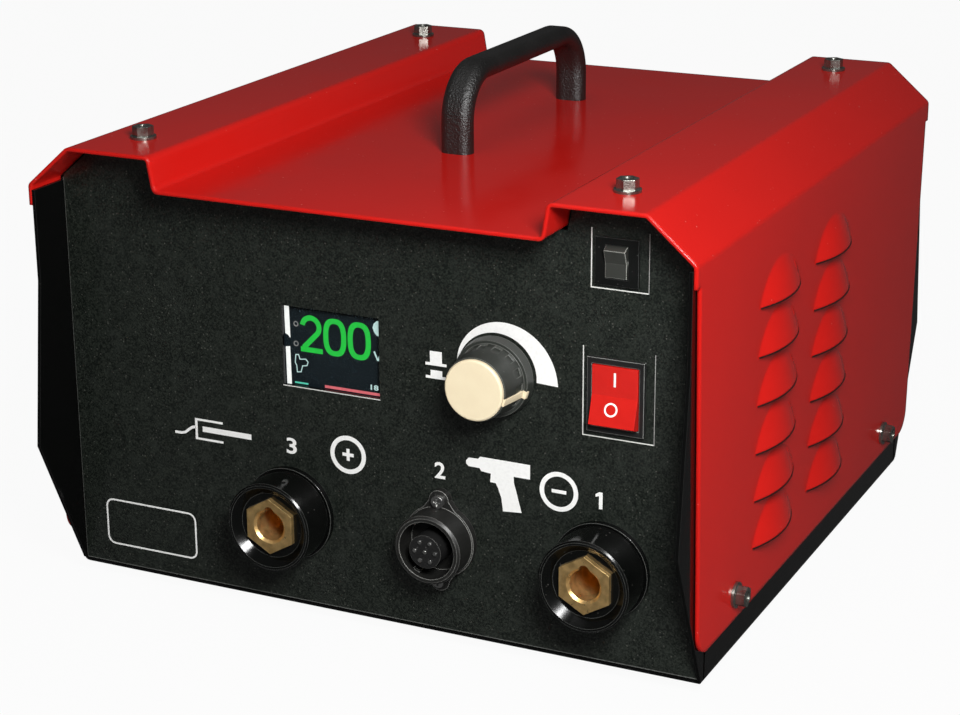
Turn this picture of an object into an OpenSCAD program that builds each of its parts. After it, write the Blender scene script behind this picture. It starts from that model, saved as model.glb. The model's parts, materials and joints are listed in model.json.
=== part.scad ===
// Capacitor-discharge stud welder: a folded steel case with its controls, sockets and power parts.
// Millimetres. +Z up, front panel towards -Y, origin under the middle of the case on the floor.

/* [Case] */
// Width over the cover's side panels
cover_w = 305; // [260:1:380]
// Length of the cover from front edge to rear edge
cover_d = 321; // [300:1:400]
// Height from the underside of the floor to the ridge tops
case_h = 201.2; // [194:0.1:260]
// Thickness of the folded sheet
sheet_t = 1.5; // [1:0.1:2.5]
// Bend radius at the middle of the sheet
fold_r = 2.25; // [1.5:0.05:4]
// Steps in the arc of a bend
fold_n = 6; // [3:1:10]
// Width of the slope between side panel and ridge
slope_w = 20.2; // [10:0.1:30]
// Height of the slope between side panel and ridge
slope_h = 17.5; // [10:0.1:30]
// Width of each raised ridge
ridge_w = 40.4; // [34:0.1:60]
// Depth of the flat middle below the ridges
step_h = 14.1; // [6:0.1:20]
// Sideways lean of the wall between ridge and flat
step_lean = 2.4; // [0:0.1:6]
// Height of the full-length edge of the cover at its corners
tab_h = 27.1; // [22:0.1:40]
// Setback of the side panel's edge at its top
setback_top = 3.8; // [2:0.1:8]
// Setback of the side panel's edge at its bottom
setback_low = 11.5; // [4:0.1:20]
// Height of the side panel's lower edge over the floor underside
side_low = 16.6; // [8:0.1:25]
// Radius of the side panel's lower corners
side_corner_r = 11; // [3:0.5:15]
// Recess of the front and rear panels behind the cover's edge
panel_inset = 20.9; // [14:0.1:30]
// Gap between the chassis and the cover round it
seat_gap = 0.3; // [0.2:0.05:0.8]
// Gap of the panel's edge at the inner wall of a ridge
ridge_gap = 1.2; // [0.9:0.1:3]
// Reach of the wings past the cover's edge at their top
wing_out_top = 0.2; // [0:0.1:4]
// Reach of the wings past the cover's edge at their tip
wing_out_tip = 8.8; // [4:0.1:20]
// Height of the wing tip over the floor underside
wing_tip_z = 66.8; // [40:0.1:90]
// Height of the upper knee of the wing over the floor underside
wing_knee_z = 140.4; // [100:0.1:160]
// Reach of the wings before the panel at their foot
wing_foot_out = 0.9; // [0.5:0.1:6]
// Notch at each end of the floor's side flanges
flange_relief = 0.8; // [0.6:0.1:4]
// Height of the floor's turned-up side flanges
flange_h = 38; // [34:0.5:60]
// Depth of the tabs under the ridges that take the top bolts
lid_tab_d = 17; // [14:0.5:30]
// Width of the tabs under the ridges
lid_tab_w = 32; // [20:1:34]
// Outside radius of the panel's lower corners
pan_corner_r = 3; // [2:0.5:8]

/* [Louvres] */
// Length of a louvre's lip
louvre_w = 52; // [44:0.5:60]
// Height of a louvre above its lip
louvre_h = 16.5; // [12:0.5:19]
// Outward bulge of a louvre at its lip
louvre_out = 5.6; // [3:0.1:8]
// Height of the top row of lips over the floor underside
louvre_top = 145.9; // [142:0.1:146]
// Pitch of the rows
louvre_pitch = 21.1; // [20:0.1:21.6]
// Rows of louvres
louvre_rows = 6; // [3:1:6]
// Place of the front column along the case
louvre_y1 = -61.5; // [-75:0.5:-58]
// Place of the rear column along the case
louvre_y2 = 10.5; // [8:0.5:40]

/* [Case bolts] */
// Distance of the top bolts from the cover's sides
top_bolt_side = 40.5; // [36:0.5:44]
// Distance of the top bolts from the cover's edge
top_bolt_in = 29; // [27:0.5:33]
// Distance of the side bolts from the cover's edge
side_bolt_in = 54; // [40:0.5:80]
// Height of the side bolts over the floor underside
side_bolt_z = 27.8; // [26:0.1:30]
// Radius of a case bolt's shank
bolt_r = 2.5; // [2:0.1:3]
// Radius of the hole for a case bolt
bolt_hole_r = 2.8; // [2.6:0.1:3.4]
// Radius of a case bolt's flange
bolt_flange_r = 5.6; // [4.5:0.1:7]
// Thickness of a case bolt's flange
bolt_flange_t = 1.2; // [0.8:0.1:2]
// Width across flats of a case bolt's head
bolt_af = 8; // [7:0.5:10]
// Height of a case bolt's head above the flange
bolt_head_h = 4.2; // [3:0.1:6]
// Radius of the dish in the top of a bolt head
bolt_dish_r = 2.6; // [1.5:0.1:3.2]
// Depth of the dish in the top of a bolt head
bolt_dish_h = 0.5; // [0.2:0.1:1]
// Length of a case bolt's shank
bolt_len = 10; // [8:0.5:16]
// Height of the nuts behind the case bolts
bolt_nut_h = 4; // [3:0.5:6]

/* [Handle] */
// Offset of the handle from the middle
handle_x = -4; // [-20:1:20]
// Middle of the handle along the case
handle_y = 16.5; // [-10:0.5:20]
// Spacing of the handle's legs
handle_span = 125; // [110:1:150]
// Height of the handle's top over the flat
handle_h = 38.9; // [36:0.1:60]
// Width of the oval section
handle_w = 15; // [12:0.5:24]
// Thickness of the oval section
handle_t = 9.2; // [7:0.1:11]
// Bend radius at the middle of the section
handle_bend_r = 21; // [15:1:26]
// Radius of the handle screws
handle_screw_r = 2.5; // [2:0.1:3]
// Radius of the handle screws' heads
handle_head_r = 4.75; // [4:0.05:6]
// Height of the handle screws' heads
handle_head_h = 3; // [2:0.1:4]
// Depth of the handle screws in the legs
handle_screw_in = 14; // [10:0.5:18]

/* [Feet] */
// Height of the rubber feet
foot_h = 6; // [6:0.5:12]
// Radius of a foot where it meets the floor
foot_r = 10; // [8:0.5:14]
// Radius of a foot at the bottom
foot_low_r = 8.8; // [7:0.1:10]
// Offset of the feet across the case
foot_x = 91.5; // [89:0.5:94]
// Offset of the feet along the case
foot_y = 106; // [104:0.5:112]
// Radius of a foot screw
foot_screw_r = 2; // [1.5:0.1:2.5]
// Radius of a foot screw's head
foot_head_r = 3.8; // [3:0.1:4.5]
// Height of a foot screw's head
foot_head_h = 2.2; // [1.5:0.1:3]
// Depth of the pocket for the screw head
foot_pocket_h = 3.4; // [2.5:0.1:4]
// Radius of the pocket for the screw head
foot_pocket_r = 4.6; // [4:0.1:5.5]
// Width across flats of the foot nuts
foot_nut_af = 7; // [6:0.5:8]
// Height of the foot nuts
foot_nut_h = 3.2; // [2.5:0.1:4]

/* [Display] */
// Middle of the display window across the panel
disp_x = -18.1; // [-40:0.1:0]
// Middle of the display window over the floor underside
disp_z = 120.1; // [104:0.1:129]
// Width of the window
disp_w = 46.4; // [40:0.1:52]
// Height of the window
disp_h = 35.3; // [30:0.1:40]
// Margin of the clear pane behind the panel
pane_margin = 5; // [3:0.5:6]
// Thickness of the clear pane
pane_t = 1.5; // [1:0.1:2]
// Margin of the display module round the window
module_margin = 3.5; // [2:0.5:5]
// Depth from the panel's inner face to the circuit board
board_stand = 6.5; // [6:0.1:8]
// Thickness of the circuit boards
board_t = 1.6; // [1:0.1:2]
// Width of the control board
board_w = 150; // [142:1:160]
// Height of the control board
board_h = 58; // [54:1:60]
// Middle of the control board across the panel
board_x = 14; // [10:0.5:14]
// Inset of the spacers from the control board's edges
spacer_in = 5; // [4:0.5:7]
// Width across flats of the spacers
spacer_af = 6; // [5:0.5:8]
// Radius of the control board screws
board_screw_r = 1.5; // [1:0.1:1.6]
// Radius of the control board screws' heads
board_head_r = 2.8; // [2.4:0.1:3.4]
// Height of the control board screws' heads
board_head_h = 2; // [1:0.1:3]
// Depth of the thread in a spacer
spacer_thread_h = 4.5; // [3:0.1:5]
// Length of the shared chips on the boards
chip_l = 14; // [8:0.5:20]
// Width of the chips
chip_w = 9; // [6:0.5:12]
// Height of the chips
chip_h = 2.2; // [1:0.1:3]

/* [Knob] */
// Knob axis across the panel
knob_x = 59.3; // [50:0.1:65]
// Knob axis over the floor underside
knob_z = 121; // [114:0.1:124]
// Radius of the knob's skirt
skirt_r = 17; // [15:0.1:18]
// Radius of the skirt's front edge
skirt_front_r = 16.3; // [14.5:0.1:17]
// Height of the skirt
skirt_h = 4.6; // [3:0.1:6]
// Radius of the grip at the skirt
grip_r = 14.9; // [13.5:0.1:15.5]
// Radius of the grip at its front
grip_front_r = 13.3; // [13.1:0.05:13.5]
// Gap under the knob
knob_gap = 1.4; // [1.2:0.1:2]
// Travel of the knob when it is pressed
knob_push = 1; // [0.5:0.1:1]
// Height of the knob body
knob_h = 19; // [17:0.5:22]
// Number of grip ribs
rib_n = 14; // [8:1:18]
// Width of a grip rib
rib_w = 3.4; // [1.5:0.1:4]
// Radius of the recess under the knob
knob_recess_r = 10.5; // [9:0.1:11.5]
// Depth of the recess under the knob
knob_recess_h = 7; // [6.8:0.1:8]
// Radius of the cap
cap_r = 12.8; // [11:0.1:12.9]
// Thickness of the cap
cap_t = 2; // [1:0.1:3]
// Bevel at the cap's edge
cap_bevel = 0.6; // [0.2:0.1:0.9]
// Width of the pointer line
pointer_w = 3.2; // [1:0.1:4]
// Angle of the pointer, counter-clockwise from the right
pointer_angle = -17; // [-180:1:180]
// Depth of the pointer in the grip
pointer_in = 1.4; // [0.8:0.1:1.6]
// Height of the pointer over the grip's surface
pointer_proud = 0.3; // [0.05:0.05:0.4]
// Radius of the encoder's shaft
shaft_r = 3; // [2.5:0.1:3.2]
// Length of the shaft inside the knob
shaft_in_knob = 9; // [6:0.5:11]
// Radius of the encoder's threaded bush
bush_r = 4.5; // [4.2:0.1:5]
// Length of the bush in front of the panel
bush_h = 5.5; // [5:0.1:5.8]
// Side of the encoder's body
encoder_w = 13; // [12.6:0.1:15]
// Radius of the encoder's rotor
rotor_r = 5; // [4.5:0.1:5.4]
// Thickness of the encoder's rotor
rotor_t = 2.6; // [1.5:0.1:3]
// Width across flats of the bush nut
bush_nut_af = 12; // [11:0.5:14]
// Height of the bush nut
bush_nut_h = 2; // [1.5:0.1:2.5]
// Radius of the washer under the bush nut
bush_washer_r = 7.2; // [6.5:0.1:8]
// Thickness of the washer under the bush nut
bush_washer_t = 0.8; // [0.5:0.1:1]

/* [Power switch] */
// Middle of the switch across the panel
switch_x = 112.1; // [105:0.1:116]
// Middle of the switch over the floor underside
switch_z = 119.6; // [109:0.1:124]
// Half width of the bezel
switch_bezel_hw = 12.2; // [11.5:0.1:14]
// Half height of the bezel
switch_bezel_hh = 15.6; // [14.6:0.1:18]
// Thickness of the bezel
switch_bezel_t = 2; // [1.5:0.1:2.2]
// Half width of the paddle
paddle_hw = 9.8; // [8:0.1:9.9]
// Radius of the paddle's end faces about its pivot
paddle_r = 12.9; // [11:0.1:13.2]
// Height of the pressed half over the panel
paddle_face = 2.6; // [2.3:0.1:3.2]
// Swing of the paddle between its two positions
paddle_swing = 18; // [12:1:22]
// Depth of the paddle behind its pivot
paddle_back = 5; // [4:0.5:8]
// Depth of the switch body behind the panel's face
switch_depth = 22; // [18:1:30]
// Half height of the switch body
switch_body_hh = 14; // [13.8:0.1:14.4]
// Half width of the switch body
switch_body_hw = 11.3; // [11.2:0.1:11.6]
// Radius of the paddles' pivot pins
pivot_r = 1.2; // [0.8:0.1:1.5]
// Width of a switch terminal
spade_w = 6.3; // [4:0.1:7]
// Thickness of a switch terminal
spade_t = 0.8; // [0.5:0.1:1.2]
// Length of a switch terminal
spade_l = 9; // [6:0.5:12]
// Offset of the terminals across the switch
spade_x = 5; // [4:0.1:6]
// Offset of the terminals along the switch
spade_z = 7; // [5:0.5:9]

/* [Circuit breaker] */
// Middle of the breaker across the panel
breaker_x = 111.7; // [108:0.1:114]
// Middle of the breaker over the floor underside
breaker_z = 174.9; // [170:0.1:176]
// Half width of the breaker's bezel
breaker_bezel_hw = 9.2; // [8.5:0.1:10]
// Half height of the breaker's bezel
breaker_bezel_hh = 9.7; // [9:0.1:11]
// Thickness of the breaker's bezel
breaker_bezel_t = 1.4; // [1:0.1:1.6]
// Half width of the breaker's paddle
lever_hw = 4.5; // [3.5:0.1:5]
// Radius of the breaker paddle's end faces
lever_r = 6.6; // [5.5:0.1:7]
// Height of the pressed half over the panel
lever_face = 2.2; // [1.7:0.1:3]
// Swing of the breaker's paddle
lever_swing = 20; // [12:1:24]
// Depth of the breaker's paddle behind its pivot
lever_back = 3; // [2:0.5:4]
// Depth of the breaker's body behind the panel's face
breaker_depth = 30; // [20:1:36]
// Half width of the breaker's body
breaker_body_hw = 7; // [6.8:0.1:8]
// Half height of the breaker's body
breaker_body_hh = 8.3; // [8:0.1:8.6]

/* [Weld sockets] */
// Place of the minus socket across the panel
neg_x = 106.7; // [96:0.1:110]
// Place of the plus socket across the panel
pos_x = -39.4; // [-50:0.1:-36]
// Height of the sockets over the floor underside
socket_z = 44.2; // [38:0.1:48]
// Outside radius of a socket
socket_r = 19.8; // [18:0.1:22]
// Length of a socket in front of the panel
socket_l = 20.9; // [16:0.1:26]
// Radius of the ring at the panel
socket_ring_r = 20.8; // [19.9:0.1:24]
// Thickness of the ring at the panel
socket_ring_t = 3; // [2:0.1:5]
// Depth of the groove in front of the ring
socket_groove = 0.6; // [0.3:0.1:1]
// Radius where the dished front begins
socket_lip_r = 18; // [16:0.1:19]
// Radius at the bottom of the dished front
socket_dish_r = 14.6; // [13.5:0.1:15.5]
// Depth of the dished front
socket_dish_h = 3.6; // [2:0.1:5]
// Bevel at the front rim
socket_bevel = 0.8; // [0.3:0.1:1.2]
// Width across flats of the contact's front
contact_af = 21.8; // [20:0.1:23]
// Depth of the contact's front behind the rim
contact_in = 1.4; // [0.5:0.1:3]
// Thickness of the contact's hexagon
contact_hex_t = 6; // [4:0.1:8]
// Radius of the contact's barrel
contact_r = 10; // [9:0.1:10.5]
// Radius of the bore for the cable plug
plug_r = 6.6; // [6.5:0.05:7]
// Depth of the bore for the cable plug
plug_l = 26; // [20:0.5:30]
// Bevel at the mouth of the bore
plug_bevel = 1.1; // [0.3:0.1:1.4]
// Width of the key slot beside the bore
key_w = 5; // [3:0.1:6]
// Reach of the key slot from the axis
key_r = 9; // [8:0.1:9.4]
// Depth of the key slot
key_l = 8; // [5:0.5:12]
// Radius of the socket's spigot through the panel
spigot_r = 14; // [13:0.1:15]
// Radius of the insulating washer behind the panel
washer_r = 19; // [17:0.5:22]
// Thickness of the insulating washer
washer_t = 1.5; // [1:0.1:3]
// Width across flats of the socket nut
socket_nut_af = 30; // [27:0.5:34]
// Height of the socket nut
socket_nut_h = 5; // [4:0.5:8]
// Radius of the stud behind the contact
stud_r = 6; // [5:0.1:7]
// Length of the stud behind the socket nut
stud_l = 18; // [16:0.5:26]
// Width across flats of the stud nuts
stud_nut_af = 19; // [17:0.5:22]
// Height of the stud nuts
stud_nut_h = 6; // [4:0.5:8]

/* [Control socket] */
// Place of the control socket across the panel
ctrl_x = 33.8; // [28:0.1:36]
// Height of the control socket over the floor underside
ctrl_z = 44.7; // [42:0.1:48]
// Outside radius of the control socket
ctrl_r = 15.2; // [14:0.1:16]
// Length of the control socket in front of the panel
ctrl_l = 15.4; // [12:0.1:20]
// Inside radius of the control socket
ctrl_in_r = 12.7; // [12:0.1:13]
// Depth of the cavity
ctrl_cavity = 11.5; // [8:0.1:11.8]
// Thickness of the control socket's flange
ctrl_flange_t = 3.4; // [2:0.1:4]
// Offset of the flange screws from the axis
ctrl_screw_z = 18; // [17.5:0.1:20]
// Radius of the flange's ears
ctrl_ear_r = 4.6; // [3.5:0.1:5]
// Radius of the contact insert
insert_r = 7.3; // [6.5:0.1:7.6]
// Reach of the contact insert past the rim
insert_proud = 1.2; // [0:0.1:3]
// Radius of the contact circle
pin_ring_r = 4.7; // [4:0.1:5.4]
// Radius of a contact
pin_r = 0.8; // [0.5:0.1:1]
// Reach of a contact past the insert
pin_proud = 0.5; // [0.2:0.1:2]
// Length of a contact
pin_l = 30; // [24:1:36]
// Number of contacts in the circle
pin_n = 6; // [4:1:6]
// Radius of the control socket behind the panel
ctrl_back_r = 12; // [11:0.1:12.4]
// Depth of the control socket behind the panel's face
ctrl_back = 12; // [8:0.5:20]
// Half length of the bayonet studs inside the rim
bayonet_w = 3; // [2:0.1:5]
// Height of the bayonet studs
bayonet_out = 1; // [0.6:0.1:1.4]
// Radius of the flange screws
small_screw_r = 1.5; // [1.2:0.1:1.8]
// Radius of the flange screws' heads
small_head_r = 2.7; // [2.4:0.1:3.4]
// Height of the flange screws' heads
small_head_h = 2; // [1.2:0.1:2.6]
// Width of the cross in the flange screws' heads
small_cross_w = 0.8; // [0.5:0.1:1.2]
// Depth of the cross in the flange screws' heads
small_cross_h = 0.7; // [0.3:0.1:1]
// Width across flats of the small nuts
small_nut_af = 5.5; // [5:0.1:6]
// Height of the small nuts
small_nut_h = 2.4; // [1.8:0.1:3]

/* [Mains inlet] */
// Place of the inlet across the rear panel, to the right seen from behind
inlet_x = 60; // [40:1:90]
// Height of the inlet over the floor underside
inlet_z = 42; // [30:1:60]
// Width of the inlet's flange
inlet_w = 50; // [48:0.5:54]
// Height of the inlet's flange
inlet_h = 24; // [22:0.5:28]
// Thickness of the inlet's flange
inlet_t = 3; // [2:0.1:4]
// Spacing of the inlet screws
inlet_pitch = 40; // [38:0.5:42]
// Width of the inlet's cavity
cavity_w = 24; // [23:0.1:25]
// Height of the inlet's cavity
cavity_h = 16.6; // [16:0.1:17.5]
// Depth of the inlet's cavity
cavity_d = 17; // [15:0.5:20]
// Cut corners of the inlet's cavity
cavity_cut = 4.5; // [3:0.1:5]
// Wall round the inlet's cavity
inlet_wall = 1.5; // [1:0.1:2]
// Depth of the inlet's body behind the panel's face
inlet_depth = 22; // [20:1:26]
// Width of an inlet blade
blade_w = 2; // [1.5:0.1:2.5]
// Height of an inlet blade
blade_h = 4; // [3:0.1:5]
// Length of an inlet blade in the cavity
blade_l = 14; // [10:0.5:15]
// Length of an inlet blade's tail
blade_tail = 9; // [6:0.5:12]
// Offset of the outer blades
blade_x = 7; // [6:0.1:8]
// Offset of the blades up and down
blade_z = 2; // [1.5:0.1:2.5]

/* [Fan] */
// Place of the fan across the rear panel, to the right seen from behind
fan_x = -78; // [-84:1:-66]
// Height of the fan over the floor underside
fan_z = 128; // [128:1:136]
// Side of the fan frame
fan_w = 80; // [76:1:92]
// Depth of the fan frame
fan_d = 25; // [20:1:28]
// Radius of the fan's duct
duct_r = 38; // [35:0.5:39]
// Offset of the fan screws
fan_hole = 35.75; // [33:0.05:37]
// Corner radius of the fan frame
fan_corner_r = 4; // [2:0.5:6]
// Radius of the fan screws
fan_screw_r = 2; // [1.5:0.1:2.2]
// Radius of the fan screws' heads
fan_head_r = 4; // [3.4:0.1:4.6]
// Height of the fan screws' heads
fan_head_h = 2.4; // [1.8:0.1:3]
// Radius of the fan's hub
hub_r = 17; // [14:0.5:20]
// Length of the fan's hub
hub_h = 17; // [14:0.5:18]
// Number of fan blades
blade_n = 7; // [5:1:9]
// Thickness of a fan blade
vane_t = 1.6; // [1.2:0.1:2.5]
// Chord of a fan blade
vane_c = 22; // [16:0.5:24]
// Pitch angle of a fan blade
vane_angle = 38; // [25:1:45]
// Gap between the blades and the duct
vane_gap = 1.2; // [0.8:0.1:2]
// Thickness of the motor plate and its struts
strut_t = 3; // [2:0.1:4]
// Width of a strut
strut_w = 5; // [3:0.5:8]
// Radius of the fan's axle
axle_r = 1.5; // [1:0.1:2]
// Radius of the guard's wire
wire_r = 1; // [0.8:0.1:1.5]
// Radius of the smallest guard ring
guard_r = 11; // [8:0.5:14]
// Step between the guard rings
guard_step = 8.6; // [7:0.1:9]
// Number of guard rings
guard_n = 4; // [3:1:4]
// Share of a wire's radius by which the rings stand on the spokes
ring_share = 0.7; // [0.5:0.05:0.9]
// Radius of the eyes round the guard's screws
eye_r = 3.4; // [3.1:0.1:3.6]

/* [Capacitors] */
// Radius of a capacitor can
can_r = 25.5; // [22:0.5:26]
// Height of a capacitor can
can_h = 104; // [80:1:110]
// Pitch of the cans across and along
can_pitch = 53; // [53:0.5:54]
// Gap between the cans' base plate and the side flange
can_side = 4.7; // [3:0.1:8]
// Columns of cans
can_cols = 2; // [1:1:2]
// Cans in a column
can_rows = 3; // [2:1:3]
// Thickness of the base plate under the cans
base_t = 5; // [4:0.5:8]
// Depth of the pockets in the base plate
pocket_h = 2.5; // [1:0.1:3]
// Depth of the rim round a can's top
can_rim_h = 1.2; // [0.5:0.1:2]
// Width of the rim round a can's top
can_rim_w = 2.2; // [1:0.1:4]
// Radius of a can's terminal
term_r = 5; // [4:0.5:6]
// Height of a can's terminal
term_h = 5; // [3:0.5:8]
// Offset of a can's terminals
term_x = 11; // [10:0.5:14]
// Thickness of the bus bars
bus_t = 2; // [1.5:0.1:3]
// Width of the bus bars
bus_w = 12; // [10:0.5:14]
// Reach of the bus bars past the last terminals
bus_over = 12; // [7:0.5:14]
// Reach of the cross pieces past the last terminals
bus_cross = 28; // [27:0.5:30]
// Radius of the bus screws' heads
bus_head_r = 4.6; // [4:0.1:5.5]
// Height of the bus screws' heads
bus_head_h = 3.2; // [2:0.1:4]
// Radius of the bus screws
bus_screw_r = 2.5; // [2:0.1:3]
// Depth of the bus screws in the terminals
bus_screw_in = 4; // [2:0.5:4.5]
// Height of the plus strap's shelf over the floor underside
shelf_z = 74; // [66:1:80]
// Reach of the plus strap's shelf towards the rear
shelf_l = 18; // [14:0.5:20]
// Width of the straps down to the sockets
strap_w = 20; // [16:0.5:24]

/* [Transformer] */
// Gap between the core's feet and the side flange
trafo_side = 3.2; // [2:0.1:8]
// Middle of the transformer along the case
trafo_y = 72; // [64:1:76]
// Width of the core
core_w = 96; // [84:1:100]
// Height of the core
core_h = 80; // [72:1:90]
// Depth of the core
core_d = 44; // [36:1:48]
// Width of the core's limbs
limb_w = 16; // [14:0.5:18]
// Depth of the winding in front of and behind the core
coil_out = 13; // [8:0.5:14]
// Gap between winding and core
coil_gap = 0.3; // [0.2:0.1:1]
// Thickness of the core's feet
shoe_t = 2; // [1.5:0.1:3]
// Reach of the core's feet
shoe_l = 14; // [12:0.5:18]
// Height of the core's feet up the core
shoe_h = 16; // [12:0.5:20]
// Radius of the core's screws
shoe_screw_r = 2.5; // [2:0.1:3]
// Radius of the core's screws' heads
shoe_head_r = 4.6; // [4:0.1:5]
// Height of the core's screws' heads
shoe_head_h = 3; // [2:0.1:4]

/* [Discharge switch] */
// Gap between the heat sink and the side flange
sink_side = 4.2; // [2:0.1:10]
// Middle of the heat sink along the case
sink_y = -44; // [-50:1:-30]
// Width of the heat sink
sink_w = 80; // [70:1:86]
// Length of the heat sink
sink_l = 70; // [60:1:76]
// Thickness of the heat sink's base
sink_base = 6; // [4:0.5:8]
// Height of the fins
fin_h = 24; // [16:1:30]
// Thickness of a fin
fin_t = 2.4; // [1.5:0.1:3]
// Number of fins
fin_n = 9; // [6:1:10]
// Width of the thyristor
scr_w = 30; // [26:1:34]
// Length of the thyristor
scr_l = 62; // [50:1:68]
// Height of the thyristor
scr_h = 26; // [20:1:32]
// Offset of the thyristor's terminals along it
scr_term_y = 18; // [12:0.5:22]
// Radius of the thyristor's terminals
scr_term_r = 5; // [4:0.5:6]
// Height of the thyristor's terminals
scr_term_h = 3; // [2:0.5:5]
// Width of the link bar from the thyristor
link_w = 16; // [12:0.5:20]

/* [Power board] */
// Middle of the power board across the case
pcb_x = 13; // [12:0.5:15]
// Middle of the power board along the case
pcb_y = -16; // [-20:1:-12]
// Width of the power board
pcb_w = 44; // [42:1:48]
// Length of the power board
pcb_l = 94; // [92:1:100]
// Height of the pillars under the power board
pillar_h = 8; // [6:0.5:12]
// Width across flats of the pillars
pillar_af = 7; // [6:0.5:8]
// Inset of the pillars from the board's edges
pillar_in = 6; // [5:0.5:8]
// Side of a relay
relay_w = 20; // [16:0.5:22]
// Length of a relay
relay_l = 28; // [24:0.5:32]
// Height of a relay
relay_h = 24; // [16:0.5:28]
// Pitch of the relays along the board
relay_pitch = 34; // [33:0.5:36]
// Width of the terminal strip
strip_w = 20; // [14:1:22]
// Length of the terminal strip
strip_l = 10; // [8:0.5:12]
// Height of the terminal strip
strip_h = 12; // [8:0.5:14]
// Half width of the charging resistor
res_hw = 25; // [20:0.5:27]
// Length of the charging resistor's section
res_l = 21; // [16:0.5:22]
// Height of the charging resistor
res_h = 22; // [16:0.5:24]
// Middle of the charging resistor along the case
res_y = -86; // [-88:1:-84]
// Depth of the grooves in the charging resistor
res_groove = 2; // [1:0.1:3]
// Number of grooves in the charging resistor
res_n = 4; // [2:1:5]
// Place of the earth stud across the rear panel, to the right seen from behind
earth_x = -12; // [-20:1:0]
// Length of the earth stud inside the rear panel
earth_l = 14; // [10:0.5:20]
// Radius of the earth stud
earth_r = 3; // [2.5:0.1:3]
// Width across flats of the earth nut
earth_af = 10; // [9:0.5:12]
// Height of the earth nut
earth_nut_h = 5; // [4:0.5:6]

/* [Clearances] */
// Overrun of cutting shapes
cut = 1; // [0.5:0.1:2]
// Play of fixed fits
slip = 0.05; // [0.03:0.01:0.1]
// Radial clearance of turning and sliding fits
run = 0.06; // [0.02:0.01:0.09]
// Gap beside moving parts
play = 0.35; // [0.3:0.05:0.6]
// Gap round fixed parts in their openings
loose = 0.2; // [0.1:0.05:0.3]

/* [Hidden] */
$fn = 64;
zb = foot_h;
zr = foot_h + case_h;
zi = zb + sheet_t;
hx = cover_w / 2;
hy = cover_d / 2;
py = hy - panel_inset;
pi_y = py - sheet_t;
pw = hx - sheet_t - seat_gap;
flat_z = zr - step_h;
sx = hx - sheet_t / 2;
mz = zr - sheet_t / 2;
ridge_x = sx - slope_w - ridge_w;
top_z = zr - sheet_t - seat_gap;
under_z = flat_z - sheet_t - seat_gap;
slope_off = seat_gap + sheet_t / 2;
slope_len = norm([slope_w, slope_h]);
slope_k = slope_h / slope_w;
slope_px = sx - slope_off * slope_h / slope_len;
slope_pz = mz - slope_h - slope_off * slope_w / slope_len;
knee_z = slope_pz + (slope_px - pw) * slope_k;
knee_x = slope_px - (top_z - slope_pz) / slope_k;
tab_z = zr - tab_h;
low_z = zb + side_low;
ey_top = hy - setback_top;
ey_low = hy - setback_low;
edge_k = (ey_top - ey_low) / (tab_z - low_z);
corner_z = low_z + side_corner_r;
corner_y = ey_low + edge_k * side_corner_r - side_corner_r * norm([1, edge_k]);
lou_half = louvre_w / 2;
lou_d = (pow(lou_half, 2) - pow(louvre_h, 2)) / (2 * louvre_h);
lou_u = (pow(lou_half, 2) - pow(louvre_out, 2)) / (2 * louvre_out);
lou_r = norm([lou_u, lou_d + louvre_h]);
top_bolt_x = hx - top_bolt_side;
bolt_ty = hy - top_bolt_in;
bolt_sy = hy - side_bolt_in;
leg_z = handle_h - handle_t / 2 - handle_bend_r;
bar_l = handle_span - 2 * handle_bend_r;
bd = sheet_t + board_stand;
spacer_x = board_w / 2 - spacer_in;
spacer_z = board_h / 2 - spacer_in;
can_x = -pw + sheet_t + can_side + can_pitch / 2;
can_y = -(can_rows - 1) * can_pitch / 2;
term_z = zi + base_t - pocket_h + can_h + term_h;
last_y = can_y + (can_rows - 1) * can_pitch;
trafo_x = pw - sheet_t - trafo_side - shoe_l - core_w / 2;
sink_x = pw - sheet_t - sink_side - sink_w / 2;
sock_back = sheet_t + washer_t;
nut_back = sock_back + socket_nut_h;
sink_top = zi + fin_h + sink_base;
scr_top = sink_top + scr_h + scr_term_h;
pcb_z = zi + pillar_h + board_t;
link_y = py - nut_back;

// Which piece is drawn

function dirv(a, b) = (b - a) / norm(b - a);
function turn(a, b, c) = let (u = dirv(a, b), v = dirv(b, c)) atan2(u.x * v.y - u.y * v.x, u * v);
function tangent(a, b, c, r) = r * tan(abs(turn(a, b, c)) / 2);
function flip(p) = [for (i = [len(p) - 1:-1:0]) [-p[i].x, p[i].y]];

// One side of a folded strip: the bends are arcs of fold_n steps.
function strip_side(p, t, r, s) = let (n = len(p), e = t / 2) concat(
  [p[0] + s * e * lefthand(dirv(p[0], p[1]))],
  [for (i = [1:n - 2]) let (u = dirv(p[i - 1], p[i]), w = turn(p[i - 1], p[i], p[i + 1]), g = sign(w),
    m = g * lefthand(u), o = p[i] - u * tangent(p[i - 1], p[i], p[i + 1], r) + m * r, a = atan2(-m.y, -m.x))
    for (k = [0:fold_n]) o + (r - s * g * e) * [cos(a + w * k / fold_n), sin(a + w * k / fold_n)]],
  [p[n - 1] + s * e * lefthand(dirv(p[n - 2], p[n - 1]))]);
function lefthand(u) = [-u.y, u.x];
function backward(p) = [for (i = [len(p) - 1:-1:0]) p[i]];

// A folded strip of sheet along the middle line pts, in plan.
module folded(pts, t, r) { polygon(concat(strip_side(pts, t, r, 1), backward(strip_side(pts, t, r, -1)))); }

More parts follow.
